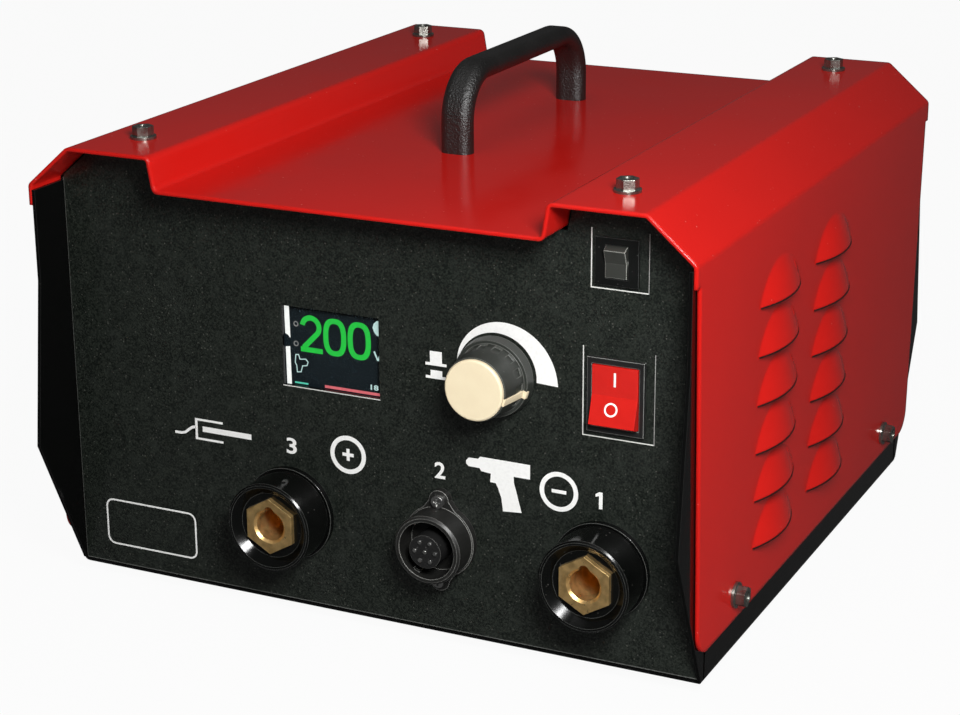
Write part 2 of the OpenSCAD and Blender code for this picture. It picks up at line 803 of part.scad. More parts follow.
module on_front(x, z) { translate([x, -py, zb + z]) rotate([90, 0, 0]) children(); }
module on_rear(x, z) { translate([x, py, zb + z]) rotate([90, 0, 180]) children(); }
module on_side(y, z) { translate([hx, y, zb + z]) rotate([90, 0, 90]) children(); }
module both_sides() { for (s = [0, 1]) mirror([s, 0, 0]) children(); }
module both_ends() { for (s = [0, 1]) mirror([0, s, 0]) children(); }
module four(x, y) { for (sx4 = [-1, 1], sy4 = [-1, 1]) translate([sx4 * x, sy4 * y, 0]) children(); }
module plate(w, h, z0, z1) { translate([-w / 2, -h / 2, z0]) cube([w, h, z1 - z0]); }
module rod(r, z0, z1) { translate([0, 0, z0]) cylinder(r = r, h = z1 - z0); }
module hexa(af, z0, z1) {
  translate([0, 0, z0]) rotate(30) cylinder(r = af / sqrt(3), h = z1 - z0, $fn = 6);
}
module ring(ro, ri, z0, z1) {
  difference() {
    rod(ro, z0, z1);
    rod(ri, z0 - cut, z1 + cut);
  }
}
module nick(r) {
  difference() {
    translate([-cut, -cut]) square(r + cut);
    translate([r, r]) circle(r);
  }
}

cover_half = [[sx, low_z - cut], [sx, mz - slope_h], [sx - slope_w, mz], [ridge_x, mz],
  [ridge_x - step_lean, mz - step_h]];

module panel_outline() {
  half = [[pw, zb], [pw, knee_z], [knee_x, top_z], [ridge_x + ridge_gap, top_z],
    [ridge_x + ridge_gap - step_lean, under_z]];
  difference() {
    polygon(concat(half, flip(half)));
    for (s = [0, 1]) mirror([s, 0]) translate([-pw, zb]) nick(pan_corner_r);
  }
}

module wing() {
  translate([pw - sheet_t, 0, 0]) rotate([90, 0, 90]) linear_extrude(sheet_t)
    polygon([[-pi_y, zb + pan_corner_r], [-py, zb + pan_corner_r], [-py - wing_foot_out, zb + pan_corner_r],
      [-hy - wing_out_tip, zb + wing_tip_z], [-hy - wing_out_top, zb + wing_knee_z],
      [-hy - wing_out_top, knee_z - sheet_t], [-pi_y, knee_z - sheet_t]]);
}

module case_bolts() {
  both_sides() both_ends() {
    translate([top_bolt_x, bolt_ty, zr]) children();
    translate([hx, bolt_sy, zb + side_bolt_z]) rotate([90, 0, 90]) children();
  }
}

module chassis() {
  m = pi_y + sheet_t / 2;
  fz = zb + sheet_t / 2;
  fx = pw - sheet_t / 2;
  bend = fold_r + sheet_t / 2;
  flange_l = py - bend - flange_relief;
  relief_l = flange_l + flange_relief / 2;
  color([0.07, 0.07, 0.08]) difference() {
    union() {
      intersection() {
        difference() {
          rotate([90, 0, 90]) linear_extrude(2 * pw, center = true)
            folded([[-m, zr], [-m, fz], [m, fz], [m, zr]], sheet_t, fold_r);
          both_sides() translate([pw - bend, -relief_l, zb - cut])
            cube([bend + cut, 2 * relief_l, sheet_t + 2 * cut]);
        }
        rotate([90, 0, 0]) linear_extrude(2 * py + 2 * cut, center = true) panel_outline();
      }
      rotate([90, 0, 0]) linear_extrude(2 * flange_l, center = true)
        folded([[-fx, zb + flange_h], [-fx, fz], [fx, fz], [fx, zb + flange_h]], sheet_t, fold_r);
      both_sides() both_ends() {
        wing();
        translate([top_bolt_x - lid_tab_w / 2, -pi_y, top_z - sheet_t]) cube([lid_tab_w, lid_tab_d, sheet_t]);
      }
    }
    case_bolts() rod(bolt_hole_r, -bolt_len, cut);
    four(foot_x, foot_y) rod(foot_screw_r + loose, zb - cut, zi + cut);
    on_front(disp_x, disp_z) plate(disp_w, disp_h, -bd, cut);
    on_front(knob_x, knob_z) rod(bush_r + loose, -bd, cut);
    on_front(switch_x, switch_z)
      plate(2 * (switch_body_hw + loose), 2 * (switch_body_hh + loose), -bd, cut);
    on_front(breaker_x, breaker_z)
      plate(2 * (breaker_body_hw + loose), 2 * (breaker_body_hh + loose), -bd, cut);
    for (x = [neg_x, pos_x]) on_front(x, socket_z) rod(spigot_r + loose, -bd, cut);
    on_front(ctrl_x, ctrl_z) {
      rod(ctrl_back_r + loose, -bd, cut);
      for (s = [-1, 1]) translate([0, s * ctrl_screw_z, 0]) rod(small_screw_r + loose, -bd, cut);
    }
    on_rear(-inlet_x, inlet_z) {
      plate(cavity_w + 2 * inlet_wall + 2 * loose, cavity_h + 2 * inlet_wall + 2 * loose, -bd, cut);
      for (s = [-1, 1]) translate([s * inlet_pitch / 2, 0, 0]) rod(small_screw_r + loose, -bd, cut);
    }
    on_rear(-fan_x, fan_z) {
      rod(duct_r, -bd, cut);
      four(fan_hole, fan_hole) rod(fan_screw_r + loose, -bd, cut);
    }
  }
}

module cover_silhouette() {
  t = edge_k / norm([1, edge_k]);
  ty = corner_y + side_corner_r * sqrt(1 - t * t);
  tz = corner_z - side_corner_r * t;
  half = [[corner_y, low_z], [ty, tz], [ey_top, tab_z], [hy, tab_z], [hy, zr + cut]];
  polygon(concat(half, flip(half)));
  for (s = [-1, 1]) translate([s * corner_y, corner_z]) circle(side_corner_r);
}

// The part of a ball of radius r that stands out of the side above a louvre's lip at z0, from x0 outwards.
module louvre_skin(r, z0, x0) {
  intersection() {
    translate([hx - lou_u, 0, z0 - lou_d]) sphere(r, $fn = 180);
    translate([x0, -louvre_w, z0]) cube([2 * louvre_out + hx - x0, 2 * louvre_w, 2 * louvre_h]);
  }
}

module louvres(r, x0) {
  both_sides() for (y = [louvre_y1, louvre_y2], i = [0:louvre_rows - 1])
    translate([0, y, 0]) louvre_skin(r, zb + louvre_top - i * louvre_pitch, x0);
}

module cover() {
  color([0.72, 0.1, 0.09]) difference() {
    union() {
      intersection() {
        rotate([90, 0, 0]) linear_extrude(cover_d, center = true)
          folded(concat(cover_half, flip(cover_half)), sheet_t, fold_r);
        rotate([90, 0, 90]) linear_extrude(cover_w + 2 * cut, center = true) cover_silhouette();
      }
      louvres(lou_r, hx - sheet_t / 2);
    }
    louvres(lou_r - sheet_t, hx - sheet_t - cut);
    case_bolts() rod(bolt_hole_r, -sheet_t - cut, cut);
    for (s = [-1, 1]) translate([handle_x, handle_y + s * handle_span / 2, 0])
      rod(handle_screw_r + loose, flat_z - sheet_t - cut, flat_z + cut);
  }
}

module hex_bolt() {
  difference() {
    union() {
      rod(bolt_flange_r, 0, bolt_flange_t);
      hexa(bolt_af, bolt_flange_t, bolt_flange_t + bolt_head_h);
      rod(bolt_r, -bolt_len, 0);
    }
    rod(bolt_dish_r, bolt_flange_t + bolt_head_h - bolt_dish_h, bolt_flange_t + bolt_head_h + cut);
  }
}
module cover_bolts() { color([0.3, 0.3, 0.3]) case_bolts() hex_bolt(); }

module cover_nuts() {
  n0 = -2 * sheet_t - seat_gap;
  color([0.5, 0.5, 0.5]) case_bolts() difference() {
    hexa(bolt_af, n0 - bolt_nut_h, n0);
    rod(bolt_r + slip, n0 - bolt_nut_h - cut, n0 + cut);
  }
}

module oval() {
  r = handle_t / 2;
  square([handle_w - handle_t, handle_t], center = true);
  for (s = [-1, 1]) translate([s * (handle_w - handle_t) / 2, 0]) circle(r);
}

module handle() {
  color([0.09, 0.09, 0.09]) translate([handle_x, handle_y, flat_z]) difference() {
    union() {
      both_ends() {
        translate([0, handle_span / 2, 0]) linear_extrude(leg_z) oval();
        translate([0, handle_span / 2 - handle_bend_r, leg_z]) rotate([90, 0, 90])
          rotate_extrude(angle = 90) translate([handle_bend_r, 0]) rotate(90) oval();
      }
      translate([0, bar_l / 2, leg_z + handle_bend_r]) rotate([90, 0, 0]) linear_extrude(bar_l) oval();
    }
    for (s = [-1, 1]) translate([0, s * handle_span / 2, 0])
      rod(handle_screw_r + slip, -cut, handle_screw_in + cut);
  }
}

module handle_screws() {
  color([0.5, 0.5, 0.5]) for (s = [-1, 1]) translate([handle_x, handle_y + s * handle_span / 2, flat_z]) {
    rod(handle_head_r, -sheet_t - handle_head_h, -sheet_t);
    rod(handle_screw_r, -sheet_t, handle_screw_in);
  }
}

module feet() {
  color([0.06, 0.06, 0.06]) four(foot_x, foot_y) difference() {
    cylinder(r1 = foot_low_r, r2 = foot_r, h = foot_h);
    rod(foot_pocket_r, -cut, foot_pocket_h);
    rod(foot_screw_r + slip, 0, foot_h + cut);
  }
}

module foot_screws() {
  color([0.55, 0.55, 0.55]) four(foot_x, foot_y) {
    rod(foot_head_r, foot_pocket_h - foot_head_h, foot_pocket_h);
    rod(foot_screw_r, foot_pocket_h, zi + foot_nut_h);
  }
}

module foot_nuts() {
  color([0.5, 0.5, 0.5]) four(foot_x, foot_y) difference() {
    hexa(foot_nut_af, zi, zi + foot_nut_h);
    rod(foot_screw_r + slip, zi - cut, zi + foot_nut_h + cut);
  }
}

module display_pane() {
  color([0.6, 0.7, 0.75, 0.5]) on_front(disp_x, disp_z)
    plate(disp_w + 2 * pane_margin, disp_h + 2 * pane_margin, -sheet_t - pane_t, -sheet_t);
}

module display_module() {
  color([0.05, 0.06, 0.08]) on_front(disp_x, disp_z)
    plate(disp_w + 2 * module_margin, disp_h + 2 * module_margin, -bd, -sheet_t - pane_t);
}

module control_board() {
  color([0.08, 0.3, 0.16]) on_front(board_x, disp_z) {
    difference() {
      plate(board_w, board_h, -bd - board_t, -bd);
      four(spacer_x, spacer_z) rod(board_screw_r + loose, -bd - board_t - cut, -bd + cut);
      translate([knob_x - board_x, knob_z - disp_z, 0]) rod(shaft_r + play, -bd - board_t - cut, -bd + cut);
    }
    for (s = [-1, 0, 1]) translate([s * 2 * chip_l - chip_l, 0, 0])
      plate(chip_l, chip_w, -bd - board_t - chip_h, -bd - board_t);
  }
}

module board_spacers() {
  color([0.75, 0.72, 0.6]) on_front(board_x, disp_z) four(spacer_x, spacer_z) difference() {
    hexa(spacer_af, -bd, -sheet_t);
    rod(board_screw_r + slip, -bd - cut, -bd + spacer_thread_h);
  }
}

module board_screws() {
  color([0.55, 0.55, 0.55]) on_front(board_x, disp_z) four(spacer_x, spacer_z) {
    rod(board_head_r, -bd - board_t - board_head_h, -bd - board_t);
    rod(board_screw_r, -bd - board_t, -bd + spacer_thread_h - slip);
  }
}

module encoder() {
  mid = -sheet_t - board_stand / 2;
  color([0.35, 0.35, 0.36]) on_front(knob_x, knob_z) difference() {
    union() {
      plate(encoder_w, encoder_w, -bd, -sheet_t);
      rod(bush_r, -sheet_t, bush_h);
    }
    rod(shaft_r + run, -bd - cut, bush_h + cut);
    rod(rotor_r + play, mid - rotor_t / 2 - play, mid + rotor_t / 2 + play);
  }
}

module bush_nut() {
  color([0.6, 0.6, 0.6]) on_front(knob_x, knob_z) difference() {
    union() {
      rod(bush_washer_r, 0, bush_washer_t);
      hexa(bush_nut_af, bush_washer_t, bush_washer_t + bush_nut_h);
    }
    rod(bush_r + slip, -cut, bush_h);
  }
}

module encoder_rotor() {
  mid = -sheet_t - board_stand / 2;
  color([0.8, 0.78, 0.7]) on_front(knob_x, knob_z)
    ring(rotor_r, shaft_r + run, mid - rotor_t / 2, mid + rotor_t / 2);
}

module knob_shaft() {
  color([0.65, 0.65, 0.66]) on_front(knob_x, knob_z)
    rod(shaft_r, -bd + knob_push + slip, knob_gap + knob_recess_h + shaft_in_knob);
}

module knob_form(grow) {
  rotate_extrude() polygon([[0, knob_gap], [skirt_r + grow, knob_gap],
    [skirt_front_r + grow, knob_gap + skirt_h + grow], [grip_r + grow, knob_gap + skirt_h + grow],
    [grip_front_r + grow, knob_gap + knob_h], [0, knob_gap + knob_h]]);
}

module pointer_bar(w, top) {
  rotate(pointer_angle) translate([grip_front_r - pointer_in, -w / 2, knob_gap + skirt_h - pointer_in])
    cube([skirt_r, w, top - skirt_h + pointer_in]);
}

module knob_body() {
  color([0.2, 0.2, 0.21]) on_front(knob_x, knob_z) difference() {
    knob_form(0);
    rod(knob_recess_r, knob_gap - cut, knob_gap + knob_recess_h);
    rod(shaft_r + slip, knob_gap, knob_gap + knob_recess_h + shaft_in_knob + slip);
    pointer_bar(pointer_w + 2 * slip, knob_h + cut);
    for (i = [0:rib_n - 1]) rotate(pointer_angle + (i + 1 / 2) * 360 / rib_n)
      translate([grip_r - pointer_in / 2, -rib_w / 2, knob_gap + skirt_h + cut])
        cube([skirt_r, rib_w, knob_h / 2]);
  }
}

module knob_cap() {
  z0 = knob_gap + knob_h;
  color([0.93, 0.87, 0.75]) on_front(knob_x, knob_z) {
    rotate_extrude() polygon([[0, z0], [cap_r, z0], [cap_r, z0 + cap_t - cap_bevel],
      [cap_r - cap_bevel, z0 + cap_t], [0, z0 + cap_t]]);
    intersection() {
      pointer_bar(pointer_w, knob_h);
      knob_form(pointer_proud);
    }
  }
}

// Housing and paddle of a rocker, seen from the front, pivot at the panel's face.
module rocker_housing(bw, bh, bt, hw, hh, depth, pad_w, pad_r) {
  difference() {
    union() {
      plate(2 * bw, 2 * bh, 0, bt);
      plate(2 * hw, 2 * hh, -depth, 0);
    }
    rotate([0, 90, 0]) cylinder(r = pad_r + play, h = 2 * (pad_w + play), center = true);
    rotate([0, 90, 0]) cylinder(r = pivot_r + run, h = 2 * (hw - slip), center = true);
  }
}

module rocker_paddle(pad_w, pad_r, face, swing, back, pin_w) {
  v = face * tan(swing / 2);
  k = tan(swing);
  rotate([90, 0, 90]) linear_extrude(2 * pad_w, center = true) intersection() {
    circle(pad_r);
    polygon([[pad_r, face], [v, face], [-pad_r, face + (v + pad_r) * k], [-pad_r, -back], [pad_r, -back]]);
  }
  rotate([0, 90, 0]) cylinder(r = pivot_r, h = 2 * pin_w, center = true);
}

module switch_housing() {
  color([0.08, 0.08, 0.08]) on_front(switch_x, switch_z)
    rocker_housing(switch_bezel_hw, switch_bezel_hh, switch_bezel_t, switch_body_hw, switch_body_hh,
      switch_depth, paddle_hw, paddle_r);
}

module switch_paddle() {
  color([0.85, 0.12, 0.1]) on_front(switch_x, switch_z)
    rocker_paddle(paddle_hw, paddle_r, paddle_face, paddle_swing, paddle_back, switch_body_hw - play);
}

module switch_terminals() {
  color([0.75, 0.6, 0.3]) on_front(switch_x, switch_z) four(spade_x, spade_z)
    plate(spade_w, spade_t, -switch_depth - spade_l, -switch_depth);
}

module breaker_housing() {
  color([0.07, 0.07, 0.07]) on_front(breaker_x, breaker_z)
    rocker_housing(breaker_bezel_hw, breaker_bezel_hh, breaker_bezel_t, breaker_body_hw, breaker_body_hh,
      breaker_depth, lever_hw, lever_r);
}

module breaker_paddle() {
  color([0.15, 0.15, 0.15]) on_front(breaker_x, breaker_z) mirror([0, 1, 0])
    rocker_paddle(lever_hw, lever_r, lever_face, lever_swing, lever_back, breaker_body_hw - play);
}

module socket_shell(x) {
  l = socket_l;
  g = socket_ring_t + socket_groove;
  color([0.05, 0.05, 0.05]) on_front(x, socket_z) difference() {
    rotate_extrude() polygon([[0, 0], [socket_ring_r, 0], [socket_ring_r, socket_ring_t],
      [socket_r - socket_groove, socket_ring_t], [socket_r - socket_groove, g], [socket_r, g],
      [socket_r, l - socket_bevel], [socket_r - socket_bevel, l], [socket_lip_r, l],
      [socket_dish_r, l - socket_dish_h], [0, l - socket_dish_h]]);
    hexa(contact_af + 2 * slip, l - contact_in - contact_hex_t, l);
    rod(contact_r + slip, -cut, l);
  }
  color([0.05, 0.05, 0.05]) on_front(x, socket_z) ring(spigot_r, contact_r + slip, -sock_back, 0);
}
module socket_neg() { socket_shell(neg_x); }
module socket_pos() { socket_shell(pos_x); }

module contact(x) {
  f = socket_l - contact_in;
  color([0.72, 0.55, 0.27]) on_front(x, socket_z) difference() {
    union() {
      hexa(contact_af, f - contact_hex_t, f);
      rod(contact_r, -nut_back, f - contact_hex_t);
      rod(stud_r, -nut_back - stud_l, -nut_back);
    }
    rod(plug_r, f - plug_l, f + cut);
    translate([0, 0, f - plug_bevel]) cylinder(r1 = plug_r, r2 = plug_r + plug_bevel, h = plug_bevel);
    translate([-key_w / 2, 0, f - key_l]) cube([key_w, key_r - key_w / 2, key_l + cut]);
    translate([0, key_r - key_w / 2, 0]) rod(key_w / 2, f - key_l, f + cut);
  }
}
module contact_neg() { contact(neg_x); }
module contact_pos() { contact(pos_x); }

module socket_washers() {
  color([0.12, 0.12, 0.12]) for (x = [neg_x, pos_x]) on_front(x, socket_z)
    ring(washer_r, spigot_r + slip, -sock_back, -sheet_t);
}

module socket_nuts() {
  color([0.7, 0.55, 0.3]) for (x = [neg_x, pos_x]) on_front(x, socket_z) difference() {
    hexa(socket_nut_af, -nut_back, -sock_back);
    rod(contact_r + slip, -nut_back - cut, -sock_back + cut);
  }
}

module stud_nuts() {
  color([0.7, 0.55, 0.3]) for (x = [neg_x, pos_x]) on_front(x, socket_z) difference() {
    hexa(stud_nut_af, -nut_back - bus_t - stud_nut_h, -nut_back - bus_t);
    rod(stud_r + slip, -nut_back - stud_l - cut, -nut_back);
  }
}

module ctrl_flange() {
  w = ctrl_r - pin_r;
  circle(ctrl_r + pin_r);
  for (s = [-1, 1]) translate([0, s * ctrl_screw_z]) circle(ctrl_ear_r);
  half = [[ctrl_ear_r, -ctrl_screw_z], [w, -ctrl_ear_r], [w, ctrl_ear_r], [ctrl_ear_r, ctrl_screw_z]];
  polygon(concat(half, flip(half)));
}

module control_socket() {
  color([0.06, 0.06, 0.06]) on_front(ctrl_x, ctrl_z) {
    difference() {
      union() {
        linear_extrude(ctrl_flange_t) ctrl_flange();
        rod(ctrl_r, 0, ctrl_l - bayonet_out);
        translate([0, 0, ctrl_l - bayonet_out])
          cylinder(r1 = ctrl_r, r2 = ctrl_r - bayonet_out, h = bayonet_out);
        rod(ctrl_back_r, -ctrl_back, 0);
      }
      rod(ctrl_in_r, ctrl_l - ctrl_cavity, ctrl_l + cut);
      rod(insert_r + slip, -ctrl_back - cut, ctrl_l);
      for (s = [-1, 1]) translate([0, s * ctrl_screw_z, 0])
        rod(small_screw_r + loose, -cut, ctrl_flange_t + cut);
    }
    for (a = [0, 120, 240]) rotate(a) intersection() {
      translate([ctrl_in_r - bayonet_out, -bayonet_w / 2, ctrl_l - 2 * bayonet_w])
        cube([2 * bayonet_out, bayonet_w, bayonet_w]);
      rod(ctrl_in_r + bayonet_out, 0, ctrl_l);
    }
  }
}

module pin_places() {
  children();
  for (i = [0:pin_n - 1]) rotate(i * 360 / pin_n) translate([pin_ring_r, 0, 0]) children();
}

module control_insert() {
  color([0.1, 0.1, 0.1]) on_front(ctrl_x, ctrl_z) difference() {
    rod(insert_r, -ctrl_back, ctrl_l + insert_proud);
    pin_places() rod(pin_r + slip, -ctrl_back - cut, ctrl_l + insert_proud + cut);
  }
}

module control_pins() {
  e = ctrl_l + insert_proud + pin_proud;
  color([0.8, 0.75, 0.6]) on_front(ctrl_x, ctrl_z) pin_places() rod(pin_r, e - pin_l, e);
}

module control_screws() {
  color([0.6, 0.6, 0.6]) on_front(ctrl_x, ctrl_z) for (s = [-1, 1]) translate([0, s * ctrl_screw_z, 0]) {
    difference() {
      rod(small_head_r, ctrl_flange_t, ctrl_flange_t + small_head_h);
      for (a = [0, 90]) rotate(a) plate(small_head_r + small_cross_w, small_cross_w,
        ctrl_flange_t + small_head_h - small_cross_h, ctrl_flange_t + small_head_h + cut);
    }
    rod(small_screw_r, -sheet_t - small_nut_h, ctrl_flange_t);
  }
}

module small_nut() {
  difference() {
    hexa(small_nut_af, -sheet_t - small_nut_h, -sheet_t);
    rod(small_screw_r + slip, -sheet_t - small_nut_h - cut, 0);
  }
}

module control_nuts() {
  color([0.5, 0.5, 0.5]) {
    on_front(ctrl_x, ctrl_z) for (s = [-1, 1]) translate([0, s * ctrl_screw_z, 0]) small_nut();
    on_rear(-inlet_x, inlet_z) for (s = [-1, 1]) translate([s * inlet_pitch / 2, 0, 0]) small_nut();
  }
}

module cavity_shape() {
  a = cavity_w / 2;
  b = cavity_h / 2;
  polygon([[-a, -b], [a, -b], [a, b - cavity_cut], [a - cavity_cut, b], [cavity_cut - a, b],
    [-a, b - cavity_cut]]);
}

module blade_places() {
  translate([0, blade_z, 0]) children();
  for (s = [-1, 1]) translate([s * blade_x, -blade_z, 0]) children();
}

module mains_inlet() {
  color([0.07, 0.07, 0.07]) on_rear(-inlet_x, inlet_z) difference() {
    union() {
      plate(inlet_w, inlet_h, 0, inlet_t);
      plate(cavity_w + 2 * inlet_wall, cavity_h + 2 * inlet_wall, -inlet_depth, 0);
    }
    translate([0, 0, inlet_t - cavity_d]) linear_extrude(cavity_d + cut) cavity_shape();
    for (s = [-1, 1]) translate([s * inlet_pitch / 2, 0, 0]) rod(small_screw_r + loose, -cut, inlet_t + cut);
    blade_places() plate(blade_w + 2 * slip, blade_h + 2 * slip, -inlet_depth - cut, 0);
  }
}

module inlet_blades() {
  z0 = inlet_t - cavity_d;
  color([0.75, 0.73, 0.68]) on_rear(-inlet_x, inlet_z) blade_places()
    plate(blade_w, blade_h, -inlet_depth - blade_tail, z0 + blade_l);
}

module inlet_screws() {
  color([0.6, 0.6, 0.6]) on_rear(-inlet_x, inlet_z) for (s = [-1, 1]) translate([s * inlet_pitch / 2, 0, 0]) {
    rod(small_head_r, inlet_t, inlet_t + small_head_h);
    rod(small_screw_r, -sheet_t - small_nut_h, inlet_t);
  }
}

module fan_frame() {
  b = -sheet_t - fan_d;
  color([0.08, 0.08, 0.08]) on_rear(-fan_x, fan_z) {
    difference() {
      plate(fan_w, fan_w, b, -sheet_t);
      rod(duct_r, b - cut, 0);
      four(fan_hole, fan_hole) rod(fan_screw_r + loose, b - cut, 0);
      for (a = [0:90:270]) rotate(a) translate([-fan_w / 2, -fan_w / 2, b - cut])
        linear_extrude(fan_d + 2 * cut) nick(fan_corner_r);
    }
    rod(hub_r, b, b + strut_t);
    rod(axle_r, b, b + hub_h - play);
    for (a = [45, 165, 285]) rotate(a) translate([hub_r - strut_t, -strut_w / 2, b])
      cube([(duct_r + fan_w / 2) / 2 - hub_r + strut_t, strut_w, strut_t]);
  }
}

module fan_rotor() {
  b = -sheet_t - fan_d + strut_t + play;
  color([0.1, 0.1, 0.1]) on_rear(-fan_x, fan_z) difference() {
    union() {
      rod(hub_r, b, b + hub_h);
      intersection() {
        for (i = [0:blade_n - 1]) rotate(i * 360 / blade_n) translate([0, 0, b + hub_h / 2])
          rotate([vane_angle, 0, 0]) translate([hub_r / 2, -vane_c / 2, -vane_t / 2])
            cube([duct_r, vane_c, vane_t]);
        rod(duct_r - vane_gap, b, b + hub_h);
      }
    }
    rod(axle_r + run, b - cut, b + hub_h - strut_t);
  }
}

module wire_ring(r) { rotate_extrude() translate([r, 0]) circle(wire_r, $fn = 24); }

module fan_guard() {
  z = wire_r;
  color([0.5, 0.5, 0.5]) on_rear(-fan_x, fan_z) {
    for (i = [0:guard_n - 1]) translate([0, 0, z + ring_share * wire_r]) wire_ring(guard_r + i * guard_step);
    four(fan_hole, fan_hole) translate([0, 0, z]) wire_ring(eye_r);
    for (a = [45:90:315]) rotate(a) translate([guard_r, 0, z]) rotate([0, 90, 0])
      cylinder(r = wire_r, h = fan_hole * sqrt(2) - guard_r - eye_r, $fn = 24);
  }
}

module fan_screws() {
  color([0.6, 0.6, 0.6]) on_rear(-fan_x, fan_z) four(fan_hole, fan_hole) {
    rod(fan_head_r, 2 * wire_r, 2 * wire_r + fan_head_h);
    rod(fan_screw_r, -sheet_t - fan_d / 2, 2 * wire_r);
  }
}

module can_places() {
  for (i = [0:can_cols - 1], j = [0:can_rows - 1])
    translate([can_x + i * can_pitch, can_y + j * can_pitch, zi + base_t - pocket_h]) children();
}

module capacitor_base() {
  w = can_cols * can_pitch;
  l = can_rows * can_pitch;
  color([0.75, 0.7, 0.6]) difference() {
    translate([can_x - can_pitch / 2, can_y - can_pitch / 2, zi]) cube([w, l, base_t]);
    can_places() rod(can_r + slip, 0, can_h);
  }
}

module capacitors() {
  color([0.2, 0.25, 0.4]) can_places() {
    difference() {
      rod(can_r, 0, can_h);
      rod(can_r - can_rim_w, can_h - can_rim_h, can_h + cut);
    }
    for (s = [-1, 1]) translate([s * term_x, 0, 0]) difference() {
      rod(term_r, can_h - can_rim_h, can_h + term_h);
      rod(bus_screw_r + slip, can_h + term_h - bus_screw_in, can_h + term_h + cut);
    }
  }
}

module bus(s) {
  y0 = s > 0 ? can_y - bus_over : can_y - bus_cross;
  y1 = s > 0 ? last_y + bus_cross : last_y + bus_over;
  cy = s > 0 ? y1 - bus_w : y0;
  translate([0, 0, term_z]) difference() {
    union() {
      for (i = [0:can_cols - 1]) translate([can_x + i * can_pitch + s * term_x - bus_w / 2, y0, 0])
        cube([bus_w, y1 - y0, bus_t]);
      translate([can_x + s * term_x, cy, 0]) cube([(can_cols - 1) * can_pitch, bus_w, bus_t]);
    }
    for (i = [0:can_cols - 1], j = [0:can_rows - 1])
      translate([can_x + i * can_pitch + s * term_x, can_y + j * can_pitch, 0])
        rod(bus_screw_r + loose, -cut, bus_t + cut);
  }
}
module bus_plus() { color([0.75, 0.42, 0.25]) bus(1); }
module bus_minus() { color([0.75, 0.42, 0.25]) bus(-1); }

module bus_screws() {
  h = can_h + term_h;
  color([0.6, 0.6, 0.6]) can_places() for (s = [-1, 1]) translate([s * term_x, 0, 0]) {
    rod(bus_head_r, h + bus_t, h + bus_t + bus_head_h);
    rod(bus_screw_r, h - bus_screw_in + slip, h + bus_t);
  }
}

// Strap from the plus bus down to the plus socket's stud.
module plus_strap() {
  bx = can_x + (can_cols - 1) * can_pitch + term_x - bus_w / 2;
  sy = -link_y;
  ry = sy + shelf_l;
  x0 = pos_x - strap_w / 2;
  z0 = zb + socket_z - strap_w / 2;
  z1 = zb + shelf_z;
  color([0.75, 0.42, 0.25]) difference() {
    union() {
      translate([x0, sy, z0]) cube([strap_w, bus_t, z1 + bus_t - z0]);
      translate([x0, sy, z1]) cube([strap_w, shelf_l + bus_t, bus_t]);
      translate([bx, ry, z1]) cube([x0 + strap_w - bx, bus_t, term_z + 2 * bus_t - z1]);
      translate([bx, ry, term_z + bus_t]) cube([bus_w, can_y - bus_w / 2 - ry, bus_t]);
    }
    on_front(pos_x, socket_z) rod(stud_r + loose, -nut_back - bus_t - cut, 0);
  }
}

// Bar from the thyristor to the minus socket's stud.
module minus_strap() {
  sy = -link_y;
  z0 = zb + socket_z - strap_w / 2;
  ty = sink_y - scr_term_y;
  x0 = min(neg_x - strap_w / 2, sink_x - link_w / 2);
  x1 = max(neg_x + strap_w / 2, sink_x + link_w / 2);
  color([0.75, 0.42, 0.25]) difference() {
    union() {
      translate([neg_x - strap_w / 2, sy, z0]) cube([strap_w, bus_t, scr_top + bus_t - z0]);
      translate([x0, sy, scr_top]) cube([x1 - x0, ty + link_w / 2 - sy, bus_t]);
    }
    on_front(neg_x, socket_z) rod(stud_r + loose, -nut_back - bus_t - cut, 0);
  }
}

module trafo_core() {
  win_w = (core_w - 4 * limb_w) / 2;
  color([0.3, 0.3, 0.32]) translate([trafo_x, trafo_y, zi]) difference() {
    translate([-core_w / 2, -core_d / 2, 0]) cube([core_w, core_d, core_h]);
    for (s = [-1, 1]) translate([s * (limb_w + win_w / 2) - win_w / 2, -core_d, limb_w])
      cube([win_w, 2 * core_d, core_h - 2 * limb_w]);
  }
}

module trafo_coil() {
  win_w = (core_w - 4 * limb_w) / 2;
  w = 2 * (limb_w + win_w) - 2 * coil_gap;
  h = core_h - 2 * limb_w - 2 * coil_gap;
  color([0.7, 0.55, 0.2]) translate([trafo_x, trafo_y, zi + limb_w + coil_gap]) difference() {
    plate(w, core_d + 2 * coil_out, 0, h);
    plate(2 * (limb_w + coil_gap), core_d + 2 * coil_gap, -cut, h + cut);
    for (a = [0, 180]) rotate(a) {
      translate([-w / 2, -core_d / 2 - coil_out, -cut]) linear_extrude(h + 2 * cut) nick(coil_out / 2);
      mirror([1, 0, 0]) translate([-w / 2, -core_d / 2 - coil_out, -cut])
        linear_extrude(h + 2 * cut) nick(coil_out / 2);
    }
  }
}

module trafo_feet() {
  color([0.55, 0.55, 0.56]) translate([trafo_x, trafo_y, zi]) for (s = [0, 1]) mirror([s, 0, 0]) {
    translate([core_w / 2, -core_d / 2, 0]) cube([shoe_t, core_d, shoe_h]);
    translate([core_w / 2, -core_d / 2, 0]) cube([shoe_l, core_d, shoe_t]);
    for (y = [-1, 1]) translate([core_w / 2 + shoe_l - shoe_head_r, y * core_d / 4, 0])
      hexa(2 * shoe_head_r - shoe_t, shoe_t, shoe_t + shoe_head_h);
  }
}

